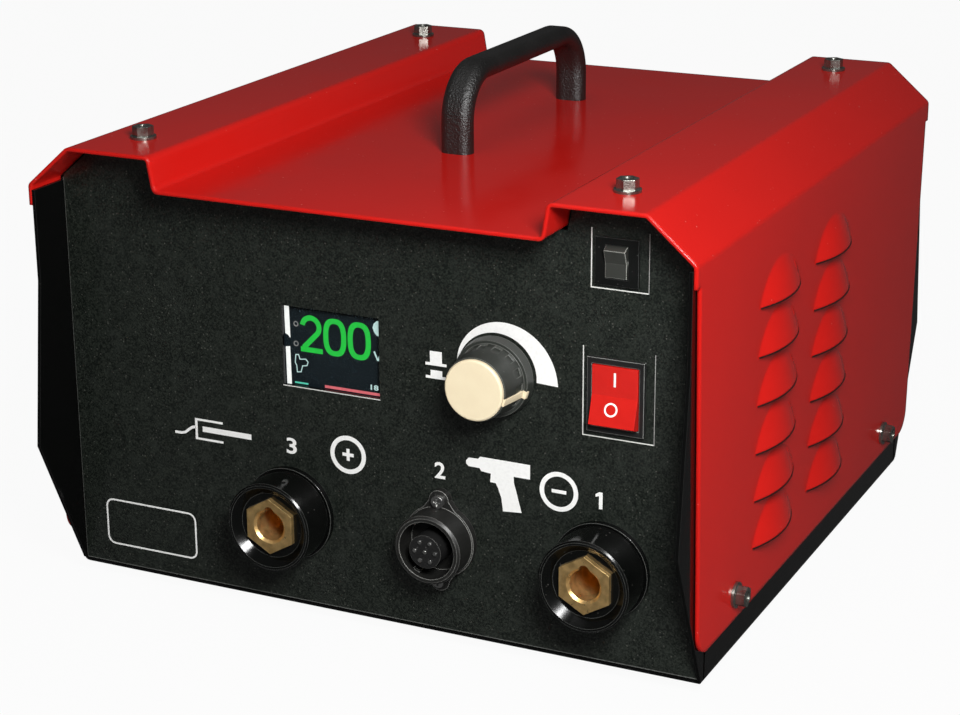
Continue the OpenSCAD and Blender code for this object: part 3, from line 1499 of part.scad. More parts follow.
module heat_sink() {
  p = (sink_w - fin_t) / (fin_n - 1);
  color([0.7, 0.71, 0.72]) translate([sink_x - sink_w / 2, sink_y - sink_l / 2, zi]) {
    translate([0, 0, fin_h]) cube([sink_w, sink_l, sink_base]);
    for (i = [0:fin_n - 1]) translate([i * p, 0, 0]) cube([fin_t, sink_l, fin_h]);
  }
}

module thyristor() {
  color([0.15, 0.15, 0.16]) translate([sink_x, sink_y, sink_top]) {
    plate(scr_w, scr_l, 0, scr_h);
    for (s = [-1, 1]) translate([0, s * scr_term_y, 0]) rod(scr_term_r, scr_h, scr_h + scr_term_h);
  }
}

module power_board() {
  color([0.1, 0.33, 0.2]) translate([pcb_x, pcb_y, pcb_z]) {
    difference() {
      plate(pcb_w, pcb_l, -board_t, 0);
      four(pcb_w / 2 - pillar_in, pcb_l / 2 - pillar_in) rod(board_screw_r + loose, -board_t - cut, cut);
    }
    for (s = [-1, 1]) {
      translate([-relay_w / 2, s * relay_pitch / 2, 0]) plate(relay_w, relay_l, 0, relay_h);
      translate([relay_w / 2, s * relay_pitch / 2, 0]) rod(relay_w / 2 - play, 0, relay_h + strip_h);
      translate([0, s * (pcb_l / 2 - pillar_in), 0]) plate(strip_w, strip_l, 0, strip_h);
    }
  }
}

module board_pillars() {
  color([0.75, 0.72, 0.6]) translate([pcb_x, pcb_y, 0])
    four(pcb_w / 2 - pillar_in, pcb_l / 2 - pillar_in) {
      hexa(pillar_af, zi, zi + pillar_h);
      rod(board_screw_r, zi + pillar_h, pcb_z);
      rod(board_head_r, pcb_z, pcb_z + board_head_h);
    }
}

module charge_resistor() {
  p = res_h / (res_n + 1);
  color([0.72, 0.6, 0.3]) translate([pcb_x, res_y, zi]) difference() {
    plate(2 * res_hw, res_l, 0, res_h);
    for (i = [1:res_n], s = [-1, 1]) translate([0, s * res_l / 2, i * p])
      cube([2 * res_hw + cut, 2 * res_groove, p / 2], center = true);
  }
}

module earth_stud() {
  color([0.75, 0.7, 0.5]) on_rear(-earth_x, inlet_z) {
    rod(earth_r, -sheet_t - earth_l, -sheet_t);
    hexa(earth_af, -sheet_t - earth_nut_h, -sheet_t);
  }
}

chassis();
cover();
cover_bolts();
cover_nuts();
handle();
handle_screws();
feet();
foot_screws();
foot_nuts();
display_pane();
display_module();
control_board();
board_spacers();
board_screws();
encoder();
bush_nut();
encoder_rotor();
knob_shaft();
knob_body();
knob_cap();
switch_housing();
switch_paddle();
switch_terminals();
breaker_housing();
breaker_paddle();
socket_neg();
contact_neg();
socket_pos();
contact_pos();
socket_washers();
socket_nuts();
stud_nuts();
control_socket();
control_insert();
control_pins();
control_screws();
control_nuts();
mains_inlet();
inlet_blades();
inlet_screws();
fan_frame();
fan_rotor();
fan_guard();
fan_screws();
capacitor_base();
capacitors();
bus_plus();
bus_minus();
bus_screws();
plus_strap();
minus_strap();
trafo_core();
trafo_coil();
trafo_feet();
heat_sink();
thyristor();
power_board();
board_pillars();
charge_resistor();
earth_stud();
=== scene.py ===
"""Looks of a stud welder's power source.

A red folded cover, a black front panel with its marks, a display and fittings. The script gives
every CAD node its finish, lays thin films over some of them, and sets camera, floor and lamps.
"""

import json
import math

import bpy
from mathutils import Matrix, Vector


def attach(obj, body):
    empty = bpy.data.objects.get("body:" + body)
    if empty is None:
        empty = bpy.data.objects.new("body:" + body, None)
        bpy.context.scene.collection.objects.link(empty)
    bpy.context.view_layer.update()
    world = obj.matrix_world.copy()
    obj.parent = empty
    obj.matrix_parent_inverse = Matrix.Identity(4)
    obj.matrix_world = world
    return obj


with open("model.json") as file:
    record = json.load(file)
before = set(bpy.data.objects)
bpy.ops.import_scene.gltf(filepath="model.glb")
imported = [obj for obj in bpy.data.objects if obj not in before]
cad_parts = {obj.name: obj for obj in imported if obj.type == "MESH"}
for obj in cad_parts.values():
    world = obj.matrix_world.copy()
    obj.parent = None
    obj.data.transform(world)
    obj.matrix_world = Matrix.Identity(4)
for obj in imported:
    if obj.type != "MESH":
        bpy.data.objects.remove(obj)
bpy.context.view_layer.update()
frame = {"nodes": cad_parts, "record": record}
nodes = frame["nodes"]

MM = 0.001

# Faces that carry films, and the height that marks are measured from, in mm
PANEL_Y = -139.6
SCREEN_Y = -136.6
MARK_Z = 4.2

# Half the thickness of a print and of the panel's film, in mm, and how far the middle of a film
# stands off its face, as a share of that half
PRINT_HALF = 0.05
FILM_HALF = 0.02
FILM_LIFT = 0.8

# Bodies that films ride on
CASE_BODY, PADDLE_BODY = "case", "power_paddle"


# Camera at the photograph's angle

SENSOR_WIDTH, FOCAL_LENGTH = 36.0, 85.99
CLIP_NEAR, CLIP_FAR = 0.01, 50.0
CAMERA_PLACE = (0.43785, -0.93498, 0.42762)
CAMERA_TURN = (1.249439, 0.005778, 0.450008)


def stand_camera():
    data = bpy.data.cameras.new("camera")
    data.sensor_width = SENSOR_WIDTH
    data.lens = FOCAL_LENGTH
    data.clip_start, data.clip_end = CLIP_NEAR, CLIP_FAR
    camera = bpy.data.objects.new("camera", data)
    camera.location = CAMERA_PLACE
    camera.rotation_euler = CAMERA_TURN
    bpy.context.scene.collection.objects.link(camera)
    bpy.context.scene.camera = camera


# Shader node groups

NOISE_DETAIL = 3.0
BEVEL_SAMPLES = 6

# Cosine between the true and the rounded normal where the mask of an edge starts and is full
EDGE_STARTS, EDGE_FULL = 0.995, 0.8


def new_group(name, inputs, outputs):
    tree = bpy.data.node_groups.new(name, "ShaderNodeTree")
    for label in inputs:
        tree.interface.new_socket(label, in_out="INPUT", socket_type="NodeSocketFloat")
    for label, kind in outputs:
        tree.interface.new_socket(label, in_out="OUTPUT", socket_type=kind)
    return tree, tree.nodes.new("NodeGroupInput"), tree.nodes.new("NodeGroupOutput")


def math_node(tree, operation, first, second):
    """The result of a Math node that is fed by sockets or plain numbers."""
    node = tree.nodes.new("ShaderNodeMath")
    node.operation = operation
    for given, socket in zip((first, second), node.inputs):
        if isinstance(given, float):
            socket.default_value = given
        else:
            tree.links.new(given, socket)
    return node.outputs["Value"]


def make_grain_group():
    """Even grain: a noise between two levels, as a value from 0 to 1."""
    tree, given, out = new_group("grain", ("Scale", "Low", "High"), [("Value", "NodeSocketFloat")])
    place = tree.nodes.new("ShaderNodeTexCoord")
    noise = tree.nodes.new("ShaderNodeTexNoise")
    noise.inputs["Detail"].default_value = NOISE_DETAIL
    spread = tree.nodes.new("ShaderNodeMapRange")
    link = tree.links.new
    link(place.outputs["Object"], noise.inputs["Vector"])
    link(given.outputs["Scale"], noise.inputs["Scale"])
    link(noise.outputs["Fac"], spread.inputs["Value"])
    link(given.outputs["Low"], spread.inputs["From Min"])
    link(given.outputs["High"], spread.inputs["From Max"])
    link(spread.outputs["Result"], out.inputs["Value"])
    return tree


def make_speck_group():
    """Scattered specks of dust: round spots in some of the cells of a cell pattern."""
    tree, given, out = new_group("specks", ("Scale", "Size", "Share"),
                                 [("Mask", "NodeSocketFloat")])
    place = tree.nodes.new("ShaderNodeTexCoord")
    cells = tree.nodes.new("ShaderNodeTexVoronoi")
    pick = tree.nodes.new("ShaderNodeSeparateColor")
    link = tree.links.new
    link(place.outputs["Object"], cells.inputs["Vector"])
    link(given.outputs["Scale"], cells.inputs["Scale"])
    link(cells.outputs["Color"], pick.inputs["Color"])
    near = math_node(tree, "LESS_THAN", cells.outputs["Distance"], given.outputs["Size"])
    some = math_node(tree, "LESS_THAN", pick.outputs["Red"], given.outputs["Share"])
    both = math_node(tree, "MULTIPLY", near, some)
    weak = math_node(tree, "MULTIPLY", both, pick.outputs["Green"])
    link(weak, out.inputs["Mask"])
    return tree


def make_edge_group():
    """Rounded edges: the softened normal, and a mask of the edge itself."""
    tree, given, out = new_group("edges", ("Radius",),
                                 [("Mask", "NodeSocketFloat"), ("Normal", "NodeSocketVector")])
    soft = tree.nodes.new("ShaderNodeBevel")
    soft.samples = BEVEL_SAMPLES
    shape = tree.nodes.new("ShaderNodeNewGeometry")
    dot = tree.nodes.new("ShaderNodeVectorMath")
    dot.operation = "DOT_PRODUCT"
    spread = tree.nodes.new("ShaderNodeMapRange")
    spread.inputs["From Min"].default_value = EDGE_STARTS
    spread.inputs["From Max"].default_value = EDGE_FULL
    link = tree.links.new
    link(given.outputs["Radius"], soft.inputs["Radius"])
    link(soft.outputs["Normal"], dot.inputs[0])
    link(shape.outputs["Normal"], dot.inputs[1])
    link(dot.outputs["Value"], spread.inputs["Value"])
    link(spread.outputs["Result"], out.inputs["Mask"])
    link(soft.outputs["Normal"], out.inputs["Normal"])
    return tree


GRAIN, SPECKS, EDGES = make_grain_group(), make_speck_group(), make_edge_group()


# Finishes

# Colour sockets of a Mix node
MIX_FIRST, MIX_SECOND, MIX_RESULT = 6, 7, 2

# Rounding of edges on metal pieces and on mouldings, in m
METAL_EDGE, MOULDED_EDGE = 0.0003, 0.0004

# Base colour of a lit sign, as a share of the light it gives
UNLIT_SHARE = 0.3


class Finish:
    """One material: a Principled shader fed by the shared groups."""

    def __init__(self, name, colour, rough, metal=0.0, specular=0.5, coat=0.0, coat_rough=0.1):
        self.material = bpy.data.materials.new(name)
        self.material.use_nodes = True
        self.tree = self.material.node_tree
        self.shader = self.tree.nodes["Principled BSDF"]
        self.set("Base Color", (*colour, 1.0))
        self.set("Roughness", rough)
        self.set("Metallic", metal)
        self.set("Specular IOR Level", specular)
        self.set("Coat Weight", coat)
        self.set("Coat Roughness", coat_rough)
        self.colour = colour
        self.colour_from = None
        self.normal_from = None

    def set(self, socket, value):
        self.shader.inputs[socket].default_value = value

    def feed(self, source, socket):
        self.tree.links.new(source, self.shader.inputs[socket])

    def place(self, group, **values):
        node = self.tree.nodes.new("ShaderNodeGroup")
        node.node_tree = group
        for label, value in values.items():
            node.inputs[label].default_value = value
        return node

    def grain(self, scale, low=0.3, high=0.7):
        return self.place(GRAIN, Scale=scale, Low=low, High=high).outputs["Value"]

    def specks(self, scale, size, share):
        return self.place(SPECKS, Scale=scale, Size=size, Share=share).outputs["Mask"]

    def tint(self, mask, colour, strength):
        """Lays another colour over the base colour where the mask says."""
        mix = self.tree.nodes.new("ShaderNodeMix")
        mix.data_type = "RGBA"
        factor = math_node(self.tree, "MULTIPLY", mask, strength)
        self.tree.links.new(factor, mix.inputs["Factor"])
        if self.colour_from is None:
            mix.inputs[MIX_FIRST].default_value = (*self.colour, 1.0)
        else:
            self.tree.links.new(self.colour_from, mix.inputs[MIX_FIRST])
        mix.inputs[MIX_SECOND].default_value = (*colour, 1.0)
        self.colour_from = mix.outputs[MIX_RESULT]
        self.feed(self.colour_from, "Base Color")

    def rough(self, mask, low, high):
        """Spreads the roughness between two values."""
        spread = self.tree.nodes.new("ShaderNodeMapRange")
        spread.inputs["To Min"].default_value = low
        spread.inputs["To Max"].default_value = high
        self.tree.links.new(mask, spread.inputs["Value"])
        self.feed(spread.outputs["Result"], "Roughness")

    def bump(self, height, distance, strength):
        """Roughens the surface, on top of the rounded edges where there are any."""
        node = self.tree.nodes.new("ShaderNodeBump")
        node.inputs["Strength"].default_value = strength
        node.inputs["Distance"].default_value = distance
        self.tree.links.new(height, node.inputs["Height"])
        if self.normal_from is not None:
            self.tree.links.new(self.normal_from, node.inputs["Normal"])
        self.normal_from = node.outputs["Normal"]
        self.feed(self.normal_from, "Normal")

    def round_edges(self, radius):
        """Rounds the edges and gives the mask of where they are."""
        node = self.place(EDGES, Radius=radius)
        self.normal_from = node.outputs["Normal"]
        self.feed(self.normal_from, "Normal")
        return node.outputs["Mask"]


def paler(colour, gain, lift=0.0):
    return tuple(min(1.0, c * gain + lift) for c in colour)


def red_paint():
    made = Finish("red_paint", (0.58, 0.010, 0.007), rough=0.17, specular=0.4)
    made.round_edges(0.0024)
    made.bump(made.grain(420.0), distance=0.00002, strength=0.5)
    made.tint(made.grain(9.0, low=0.35), (0.64, 0.013, 0.009), strength=0.5)
    made.tint(made.specks(330.0, size=0.10, share=0.22), (0.85, 0.35, 0.30), strength=0.45)
    made.rough(made.grain(35.0), low=0.13, high=0.22)
    return made.material


def black_paint():
    made = Finish("black_paint", (0.0026, 0.0027, 0.0026), rough=0.12, specular=0.14)
    # Painted highlight: the sheet's edges are tinted paler to stand for light caught on them
    made.tint(made.round_edges(0.0005), (0.03, 0.03, 0.03), strength=0.5)
    made.bump(made.grain(420.0), distance=0.00002, strength=0.5)
    made.tint(made.specks(420.0, size=0.12, share=0.2), (0.16, 0.16, 0.14), strength=0.4)
    made.rough(made.grain(60.0), low=0.07, high=0.15)
    return made.material


def panel_film():
    made = Finish("panel_film", (0.0026, 0.0044, 0.0032), rough=0.5, specular=0.3,
                  coat=0.5, coat_rough=0.16)
    fine = made.grain(1500.0, low=0.4, high=0.66)
    made.bump(fine, distance=0.00006, strength=0.6)
    made.tint(fine, (0.022, 0.027, 0.021), strength=0.9)
    made.tint(made.grain(170.0, low=0.5, high=0.75), (0.021, 0.026, 0.021), strength=0.5)
    made.tint(made.specks(620.0, size=0.2, share=0.22), (0.22, 0.22, 0.19), strength=0.5)
    made.rough(made.grain(60.0), low=0.44, high=0.6)
    return made.material


def gloss_black():
    made = Finish("gloss_black_moulding", (0.0022, 0.0024, 0.0022), rough=0.16, specular=0.36)
    # Painted highlight: the edges are tinted pale grey to stand for light caught on the glossy rims
    made.tint(made.round_edges(0.0005), (0.16, 0.165, 0.155), strength=0.7)
    made.bump(made.grain(260.0), distance=0.00002, strength=0.4)
    made.tint(made.specks(420.0, size=0.14, share=0.16), (0.22, 0.21, 0.19), strength=0.4)
    made.rough(made.grain(70.0, low=0.35, high=0.65), low=0.10, high=0.24)
    return made.material


def matt_black(name, colour, edge, radius=0.0006, specular=0.5):
    """A dull black moulding with paler edges, a painted highlight."""
    made = Finish(name, colour, rough=0.45, specular=specular)
    # Painted highlight: every edge is tinted paler to stand for light caught on it
    made.tint(made.round_edges(radius), edge, strength=0.9)
    made.bump(made.grain(1300.0, low=0.35, high=0.65), distance=0.00003, strength=0.5)
    made.tint(made.specks(500.0, size=0.14, share=0.2), (0.2, 0.2, 0.19), strength=0.35)
    made.rough(made.grain(90.0), low=0.36, high=0.52)
    return made.material


def handle_black():
    made = Finish("satin_black_bar", (0.0045, 0.0042, 0.0038), rough=0.5, specular=0.8)
    made.bump(made.grain(1100.0, low=0.35, high=0.65), distance=0.00016, strength=0.9)
    made.tint(made.specks(500.0, size=0.12, share=0.18), (0.14, 0.13, 0.12), strength=0.4)
    made.rough(made.grain(80.0), low=0.40, high=0.52)
    return made.material


def metal(name, colour, dark, rough, share=1.0):
    """A metal with darker clouds and brighter edges."""
    made = Finish(name, colour, rough, metal=share)
    made.tint(made.round_edges(METAL_EDGE), paler(colour, gain=1.35), strength=0.6)
    made.tint(made.grain(240.0, low=0.42, high=0.72), dark, strength=0.7)
    made.bump(made.grain(1500.0, low=0.35, high=0.65), distance=0.00002, strength=0.4)
    made.rough(made.grain(420.0), low=rough * 0.75, high=rough * 1.45)
    return made.material


def moulding(name, colour, shade, rough):
    """A moulded or coated piece with clouds of a second shade."""
    made = Finish(name, colour, rough)
    made.tint(made.round_edges(MOULDED_EDGE), paler(colour, gain=1.3, lift=0.02), strength=0.4)
    made.tint(made.grain(140.0, low=0.35), shade, strength=0.6)
    made.bump(made.grain(1000.0, low=0.35, high=0.65), distance=0.00002, strength=0.4)
    made.rough(made.grain(90.0), low=rough * 0.85, high=rough * 1.2)
    return made.material


def clear_pane():
    made = Finish("clear_pane", (0.02, 0.03, 0.035), rough=0.06)
    made.set("Alpha", 0.12)
    made.rough(made.grain(60.0), low=0.04, high=0.10)
    return made.material


def ink(name, colour, dull):
    """A printed colour with duller spots; some of its uses are painted highlights and painted
    shade.
    """
    made = Finish(name, colour, rough=0.5)
    made.tint(made.grain(800.0, low=0.45, high=0.75), dull, strength=0.5)
    made.rough(made.grain(300.0), low=0.42, high=0.6)
    return made.material


def lit(name, colour, deep, strength):
    """A sign on the display that gives light of its own."""
    made = Finish(name, tuple(UNLIT_SHARE * c for c in colour), rough=0.4)
    glow = made.tree.nodes.new("ShaderNodeMix")
    glow.data_type = "RGBA"
    glow.inputs[MIX_FIRST].default_value = (*colour, 1.0)
    glow.inputs[MIX_SECOND].default_value = (*deep, 1.0)
    made.tree.links.new(made.grain(700.0, low=0.35), glow.inputs["Factor"])
    made.feed(glow.outputs[MIX_RESULT], "Emission Color")
    made.set("Emission Strength", strength)
    return made.material


# Finish of each material slot
FINISH = {
    "case_black": black_paint(),
    "cover_red": red_paint(),
    "bolt_steel": metal("dark_bolt_steel", (0.28, 0.285, 0.26), (0.08, 0.085, 0.075),
                        rough=0.28, share=0.92),
    "zinc": metal("zinc_plate", (0.62, 0.62, 0.60), (0.42, 0.42, 0.43), rough=0.32),
    "handle_black": handle_black(),
    "rubber": moulding("black_rubber", (0.012, 0.012, 0.012), (0.02, 0.02, 0.02), rough=0.75),
    "clear": clear_pane(),
    "screen": moulding("screen_glass", (0.008, 0.013, 0.016), (0.012, 0.02, 0.025), rough=0.2),
    "board": moulding("board_lacquer", (0.02, 0.12, 0.05), (0.015, 0.08, 0.035), rough=0.4),
    "brass": metal("machined_brass", (0.90, 0.60, 0.25), (0.44, 0.26, 0.09),
                   rough=0.36, share=0.88),
    "copper": metal("bare_copper", (0.72, 0.32, 0.18), (0.45, 0.17, 0.09), rough=0.3),
    # The knob's paler rib edges are painted highlights
    "knob_grey": matt_black("knob_grip", (0.026, 0.029, 0.025), edge=(0.16, 0.165, 0.15)),
    "cap_cream": moulding("cream_cap", (0.79, 0.68, 0.47), (0.75, 0.63, 0.43), rough=0.42),
    "rocker_red": moulding("red_paddle", (0.54, 0.014, 0.010), (0.48, 0.011, 0.008), rough=0.2),
    "gloss_black": gloss_black(),
    "matt_black": matt_black("matt_black_moulding", (0.010, 0.010, 0.010),
                             edge=(0.12, 0.12, 0.11), radius=0.0004),
    "insulator": moulding("laminate_board", (0.42, 0.34, 0.22), (0.34, 0.27, 0.17), rough=0.6),
    "can_blue": moulding("can_sleeve", (0.02, 0.045, 0.13), (0.015, 0.035, 0.10), rough=0.35),
    "aluminium": metal("drawn_aluminium", (0.72, 0.73, 0.74), (0.55, 0.56, 0.58), rough=0.35),
    "core": moulding("core_varnish", (0.05, 0.05, 0.055), (0.08, 0.06, 0.05), rough=0.5),
    "coil": moulding("winding_tape", (0.52, 0.34, 0.07), (0.42, 0.26, 0.05), rough=0.45),
    "resistor": metal("gold_anodising", (0.60, 0.42, 0.12), (0.45, 0.3, 0.08), rough=0.4),
}

# Films
WHITE_INK = ink("white_print", (0.86, 0.86, 0.84), dull=(0.74, 0.74, 0.72))
PALE_INK = ink("pale_print", (0.66, 0.66, 0.63), dull=(0.46, 0.46, 0.44))
GREY_INK = ink("grey_print", (0.30, 0.30, 0.29), dull=(0.18, 0.18, 0.17))
# Painted highlight: a paler line that stands for light caught on the panel's left and lower folds
PAINTED_EDGE_HIGHLIGHT = ink("film_border_highlight", (0.10, 0.105, 0.095), dull=(0.02, 0.02, 0.02))
# Painted shade: a dark line that stands for the shadow under each louvre's lip
LIP_SHADOW_INK = ink("painted_lip_shadow", (0.014, 0.003, 0.003), dull=(0.03, 0.004, 0.004))
PANEL_FILM = panel_film()

# Nodes whose finish differs from that of their slot
OWN_FINISH = {
    # The paler edges of these mouldings are painted highlights
    "breaker_housing": matt_black("breaker_black", (0.0040, 0.0045, 0.0042),
                                  edge=(0.11, 0.115, 0.11), radius=0.0003, specular=0.25),
    "breaker_paddle": matt_black("grey_paddle", (0.030, 0.032, 0.028), edge=(0.45, 0.46, 0.42)),
    "control_socket": matt_black("socket_black", (0.012, 0.012, 0.011), edge=(0.30, 0.30, 0.28)),
    "switch_housing": matt_black("bezel_black", (0.010, 0.010, 0.010), edge=(0.34, 0.35, 0.33)),
}

# Signs on the display
GREEN_LIGHT = lit("green_digits", (0.012, 0.50, 0.045), deep=(0.02, 0.42, 0.05), strength=1.0)
PALE_LIGHT = lit("pale_signs", (0.55, 0.75, 0.72), deep=(0.40, 0.60, 0.58), strength=0.9)
TEAL_LIGHT = lit("teal_bar", (0.10, 0.62, 0.45), deep=(0.08, 0.5, 0.36), strength=0.9)
RED_LIGHT = lit("red_bar", (0.72, 0.16, 0.18), deep=(0.55, 0.10, 0.12), strength=0.9)
# Painted highlight: a glowing pale strip that stands for the lit left wall of the display's opening
PAINTED_WINDOW_HIGHLIGHT = lit("painted_window_highlight", (0.92, 0.94, 0.90), deep=(0.80, 0.82, 0.80), strength=1.0)


def dress_nodes():
    slots = {row["node"]: row["material_slot"] for row in frame["record"]["subparts"]}
    for name, piece in nodes.items():
        piece.data.materials.clear()
        piece.data.materials.append(OWN_FINISH.get(name) or FINISH[slots[name]])


# Outlines, in mm

ROUND_STEPS = 64
CORNER_STEPS = 8

# Power that squares an oval: 1 is an ellipse, less has straighter flanks
OVAL_POWER = 0.75

# Least cosine of half a corner's turn that a line is mitred for
LEAST_MITRE = 0.4


def bar(x0, z0, x1, z1):
    return [(x0, z0), (x1, z0), (x1, z1), (x0, z1)]


def arc(cx, cz, r, start, end, steps):
    turns = [math.radians(start + (end - start) * i / steps) for i in range(steps + 1)]
    return [(cx + r * math.cos(t), cz + r * math.sin(t)) for t in turns]


def disc(cx, cz, r):
    return arc(cx, cz, r, 0, 360, ROUND_STEPS)[:-1]


def ring(cx, cz, r, width):
    return [disc(cx, cz, r), disc(cx, cz, r - width)]


def squared(value):
    return math.copysign(abs(value) ** OVAL_POWER, value)


def oval(cx, cz, rx, rz):
    """A tall oval with straight flanks, as of a digit."""
    turns = [2 * math.pi * i / ROUND_STEPS for i in range(ROUND_STEPS)]
    return [(cx + rx * squared(math.cos(t)), cz + rz * squared(math.sin(t))) for t in turns]


def round_box(x0, z0, x1, z1, r):
    return (arc(x1 - r, z1 - r, r, 0, 90, CORNER_STEPS)
            + arc(x0 + r, z1 - r, r, 90, 180, CORNER_STEPS)
            + arc(x0 + r, z0 + r, r, 180, 270, CORNER_STEPS)
            + arc(x1 - r, z0 + r, r, 270, 360, CORNER_STEPS))


def box_line(x0, z0, x1, z1, r, width):
    """A line of even width inside a box with round corners."""
    inner = round_box(x0 + width, z0 + width, x1 - width, z1 - width, r - width)
    return [round_box(x0, z0, x1, z1, r), inner]


def stroke(points, width):
    """A line of even width along points, with square ends."""
    left, right = [], []
    for i, p in enumerate(points):
        a, b = points[max(i - 1, 0)], points[min(i + 1, len(points) - 1)]
        d = Vector((b[0] - a[0], b[1] - a[1])).normalized()
        left.append((p[0] - d.y * width / 2, p[1] + d.x * width / 2))
        right.append((p[0] + d.y * width / 2, p[1] - d.x * width / 2))
    return left + right[::-1]


def loop_line(points, width):
    """A line of even width inside a closed outline that runs clockwise."""
    inner = []
    for i, p in enumerate(points):
        a, b = Vector(points[i - 1]), Vector(points[(i + 1) % len(points)])
        d, e = (Vector(p) - a).normalized(), (b - Vector(p)).normalized()
        side = Vector((d.y + e.y, -d.x - e.x)).normalized()
        reach = width / max(LEAST_MITRE, side.dot(Vector((d.y, -d.x))))
        inner.append((p[0] + side.x * reach, p[1] + side.y * reach))
    return [points, inner]


# Flat prints

# A number is drawn bold and fitted to its box; its depth only tells front from back
NUMBER_BOLD = 0.02
NUMBER_DEPTH = 0.001
NUMBER_STEPS = 6

# Turn that stands a flat outline upright, in degrees
UPRIGHT = 90.0


def mesh_of(source):
    """The mesh that a curve or text object makes, in its place. The object itself goes."""
    bpy.context.scene.collection.objects.link(source)
    bpy.context.view_layer.update()
    solid = source.evaluated_get(bpy.context.evaluated_depsgraph_get())
    mesh = bpy.data.meshes.new_from_object(solid)
    mesh.transform(source.matrix_world)
    bpy.data.objects.remove(source)
    return mesh


def add_piece(name, mesh, finish, body):
    piece = bpy.data.objects.new(name, mesh)
    bpy.context.scene.collection.objects.link(piece)
    mesh.materials.clear()
    mesh.materials.append(finish)
    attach(piece, body)


def lay_print(name, loops, finish, y=PANEL_Y, body=CASE_BODY, at=(0.0, 0.0), tilt=0.0,
              half=PRINT_HALF):
    """Prints closed outlines as a thin film on a forward face, which leans by tilt about at."""
    data = bpy.data.curves.new(name + "_line", "CURVE")
    data.dimensions = "2D"
    data.fill_mode = "BOTH"
    data.extrude = half * MM
    for loop in loops:
        line = data.splines.new("POLY")
        line.points.add(len(loop) - 1)
        for point, (x, z) in zip(line.points, loop):
            point.co = (x * MM, z * MM, 0.0, 1.0)
        line.use_cyclic_u = True
    source = bpy.data.objects.new(name + "_line", data)
    source.rotation_euler = (math.radians(UPRIGHT + tilt), 0.0, 0.0)
    source.location = (at[0] * MM, (y - half * FILM_LIFT) * MM, (MARK_Z + at[1]) * MM)
    add_piece(name, mesh_of(source), finish, body)


def lay_number(name, digits, box, finish, y=PANEL_Y):
    """Prints a number into a box."""
    data = bpy.data.curves.new(name + "_line", "FONT")
    data.body = digits
    data.offset = NUMBER_BOLD
    data.extrude = NUMBER_DEPTH
    data.resolution_u = NUMBER_STEPS
    mesh = mesh_of(bpy.data.objects.new(name + "_line", data))
    x0, z0, x1, z1 = box
    left, right = min(v.co.x for v in mesh.vertices), max(v.co.x for v in mesh.vertices)
    foot, head = min(v.co.y for v in mesh.vertices), max(v.co.y for v in mesh.vertices)
    front, back = y - (1 + FILM_LIFT) * PRINT_HALF, y + (1 - FILM_LIFT) * PRINT_HALF
    for v in mesh.vertices:
        across = (v.co.x - left) / (right - left)
        above = (v.co.y - foot) / (head - foot)
        v.co = ((x0 + (x1 - x0) * across) * MM, (front if v.co.z > 0.0 else back) * MM,
                (MARK_Z + z0 + (z1 - z0) * above) * MM)
    add_piece(name, mesh, finish, CASE_BODY)


# Film on the front panel. Places are in mm across and above MARK_Z

KNOB_PLACE = (59.3, 122.8)
FILM_SIDE = [(149.0, 5.2), (149.0, 185.0), (130.8, 200.8), (92.7, 200.8), (90.3, 186.8)]
# The film's left and lower border, a pale line of painted highlight on the panel's folds
FILM_BORDER_HIGHLIGHT = [(-149.4, 184.0), (-149.4, 4.8), (149.2, 4.8),
             (149.2, 5.2), (-149.0, 5.2), (-149.0, 184.0)]
DISPLAY_OPENING = (-41.3, 104.25, 5.1, 139.55)
SWITCH_OPENING = (101.0, 107.0, 123.2, 135.8)
BREAKER_OPENING = (103.4, 168.0, 120.0, 185.4)

# Round openings: place across and above, and radius
MINUS_SOCKET_OPENING = (106.7, 46.0, 17.0)
PLUS_SOCKET_OPENING = (-39.4, 46.0, 17.0)
CONTROL_SOCKET_OPENING = (33.8, 46.5, 13.0)
KNOB_OPENING = (*KNOB_PLACE, 6.0)


def lay_film():
    """The speckled film with its openings, and a painted highlight on its left and lower edge."""
    outline = FILM_SIDE + [(-x, z) for x, z in reversed(FILM_SIDE)]
    boxes = (DISPLAY_OPENING, SWITCH_OPENING, BREAKER_OPENING)
    rounds = (MINUS_SOCKET_OPENING, PLUS_SOCKET_OPENING, CONTROL_SOCKET_OPENING, KNOB_OPENING)
    openings = [bar(*box) for box in boxes] + [disc(*place) for place in rounds]
    lay_print("panel_film", [outline] + openings, PANEL_FILM, half=FILM_HALF)
    lay_print("panel_film_edge", [FILM_BORDER_HIGHLIGHT], PAINTED_EDGE_HIGHLIGHT, half=FILM_HALF)


# Marks on the front panel, in mm across and above MARK_Z

# The knob's scale: a band that widens clockwise, with its turns in degrees
SCALE_START, SCALE_END = 166.0, -3.0
SCALE_INNER, SCALE_OUTER, SCALE_GROWTH = 17.8, 18.5, 8.7
SCALE_STEPS = 60

PUSH_OUT = [(28.9, 128.9), (34.4, 128.9), (34.4, 123.9), (36.5, 123.9),
            (36.5, 122.7), (26.8, 122.7), (26.8, 123.9), (28.9, 123.9)]
PUSH_IN = [(29.1, 120.7), (34.5, 120.7), (34.5, 118.2), (36.1, 118.2),
           (36.1, 117.0), (26.9, 117.0), (26.9, 118.2), (29.1, 118.2)]

# Lines around the breaker and the switch: left and below in one stroke, right in a thinner one
LINED_BOXES = {"breaker": (100.3, 165.0, 124.7, 189.4), "switch": (97.2, 102.8, 128.0, 140.7)}
LEFT_LINE, RIGHT_LINE = 0.45, 0.3
# Painted highlight: a pale line under the display's opening that stands for its lit lower sill
DISPLAY_SILL_HIGHLIGHT = (-41.6, 103.65, 5.3, 104.05)

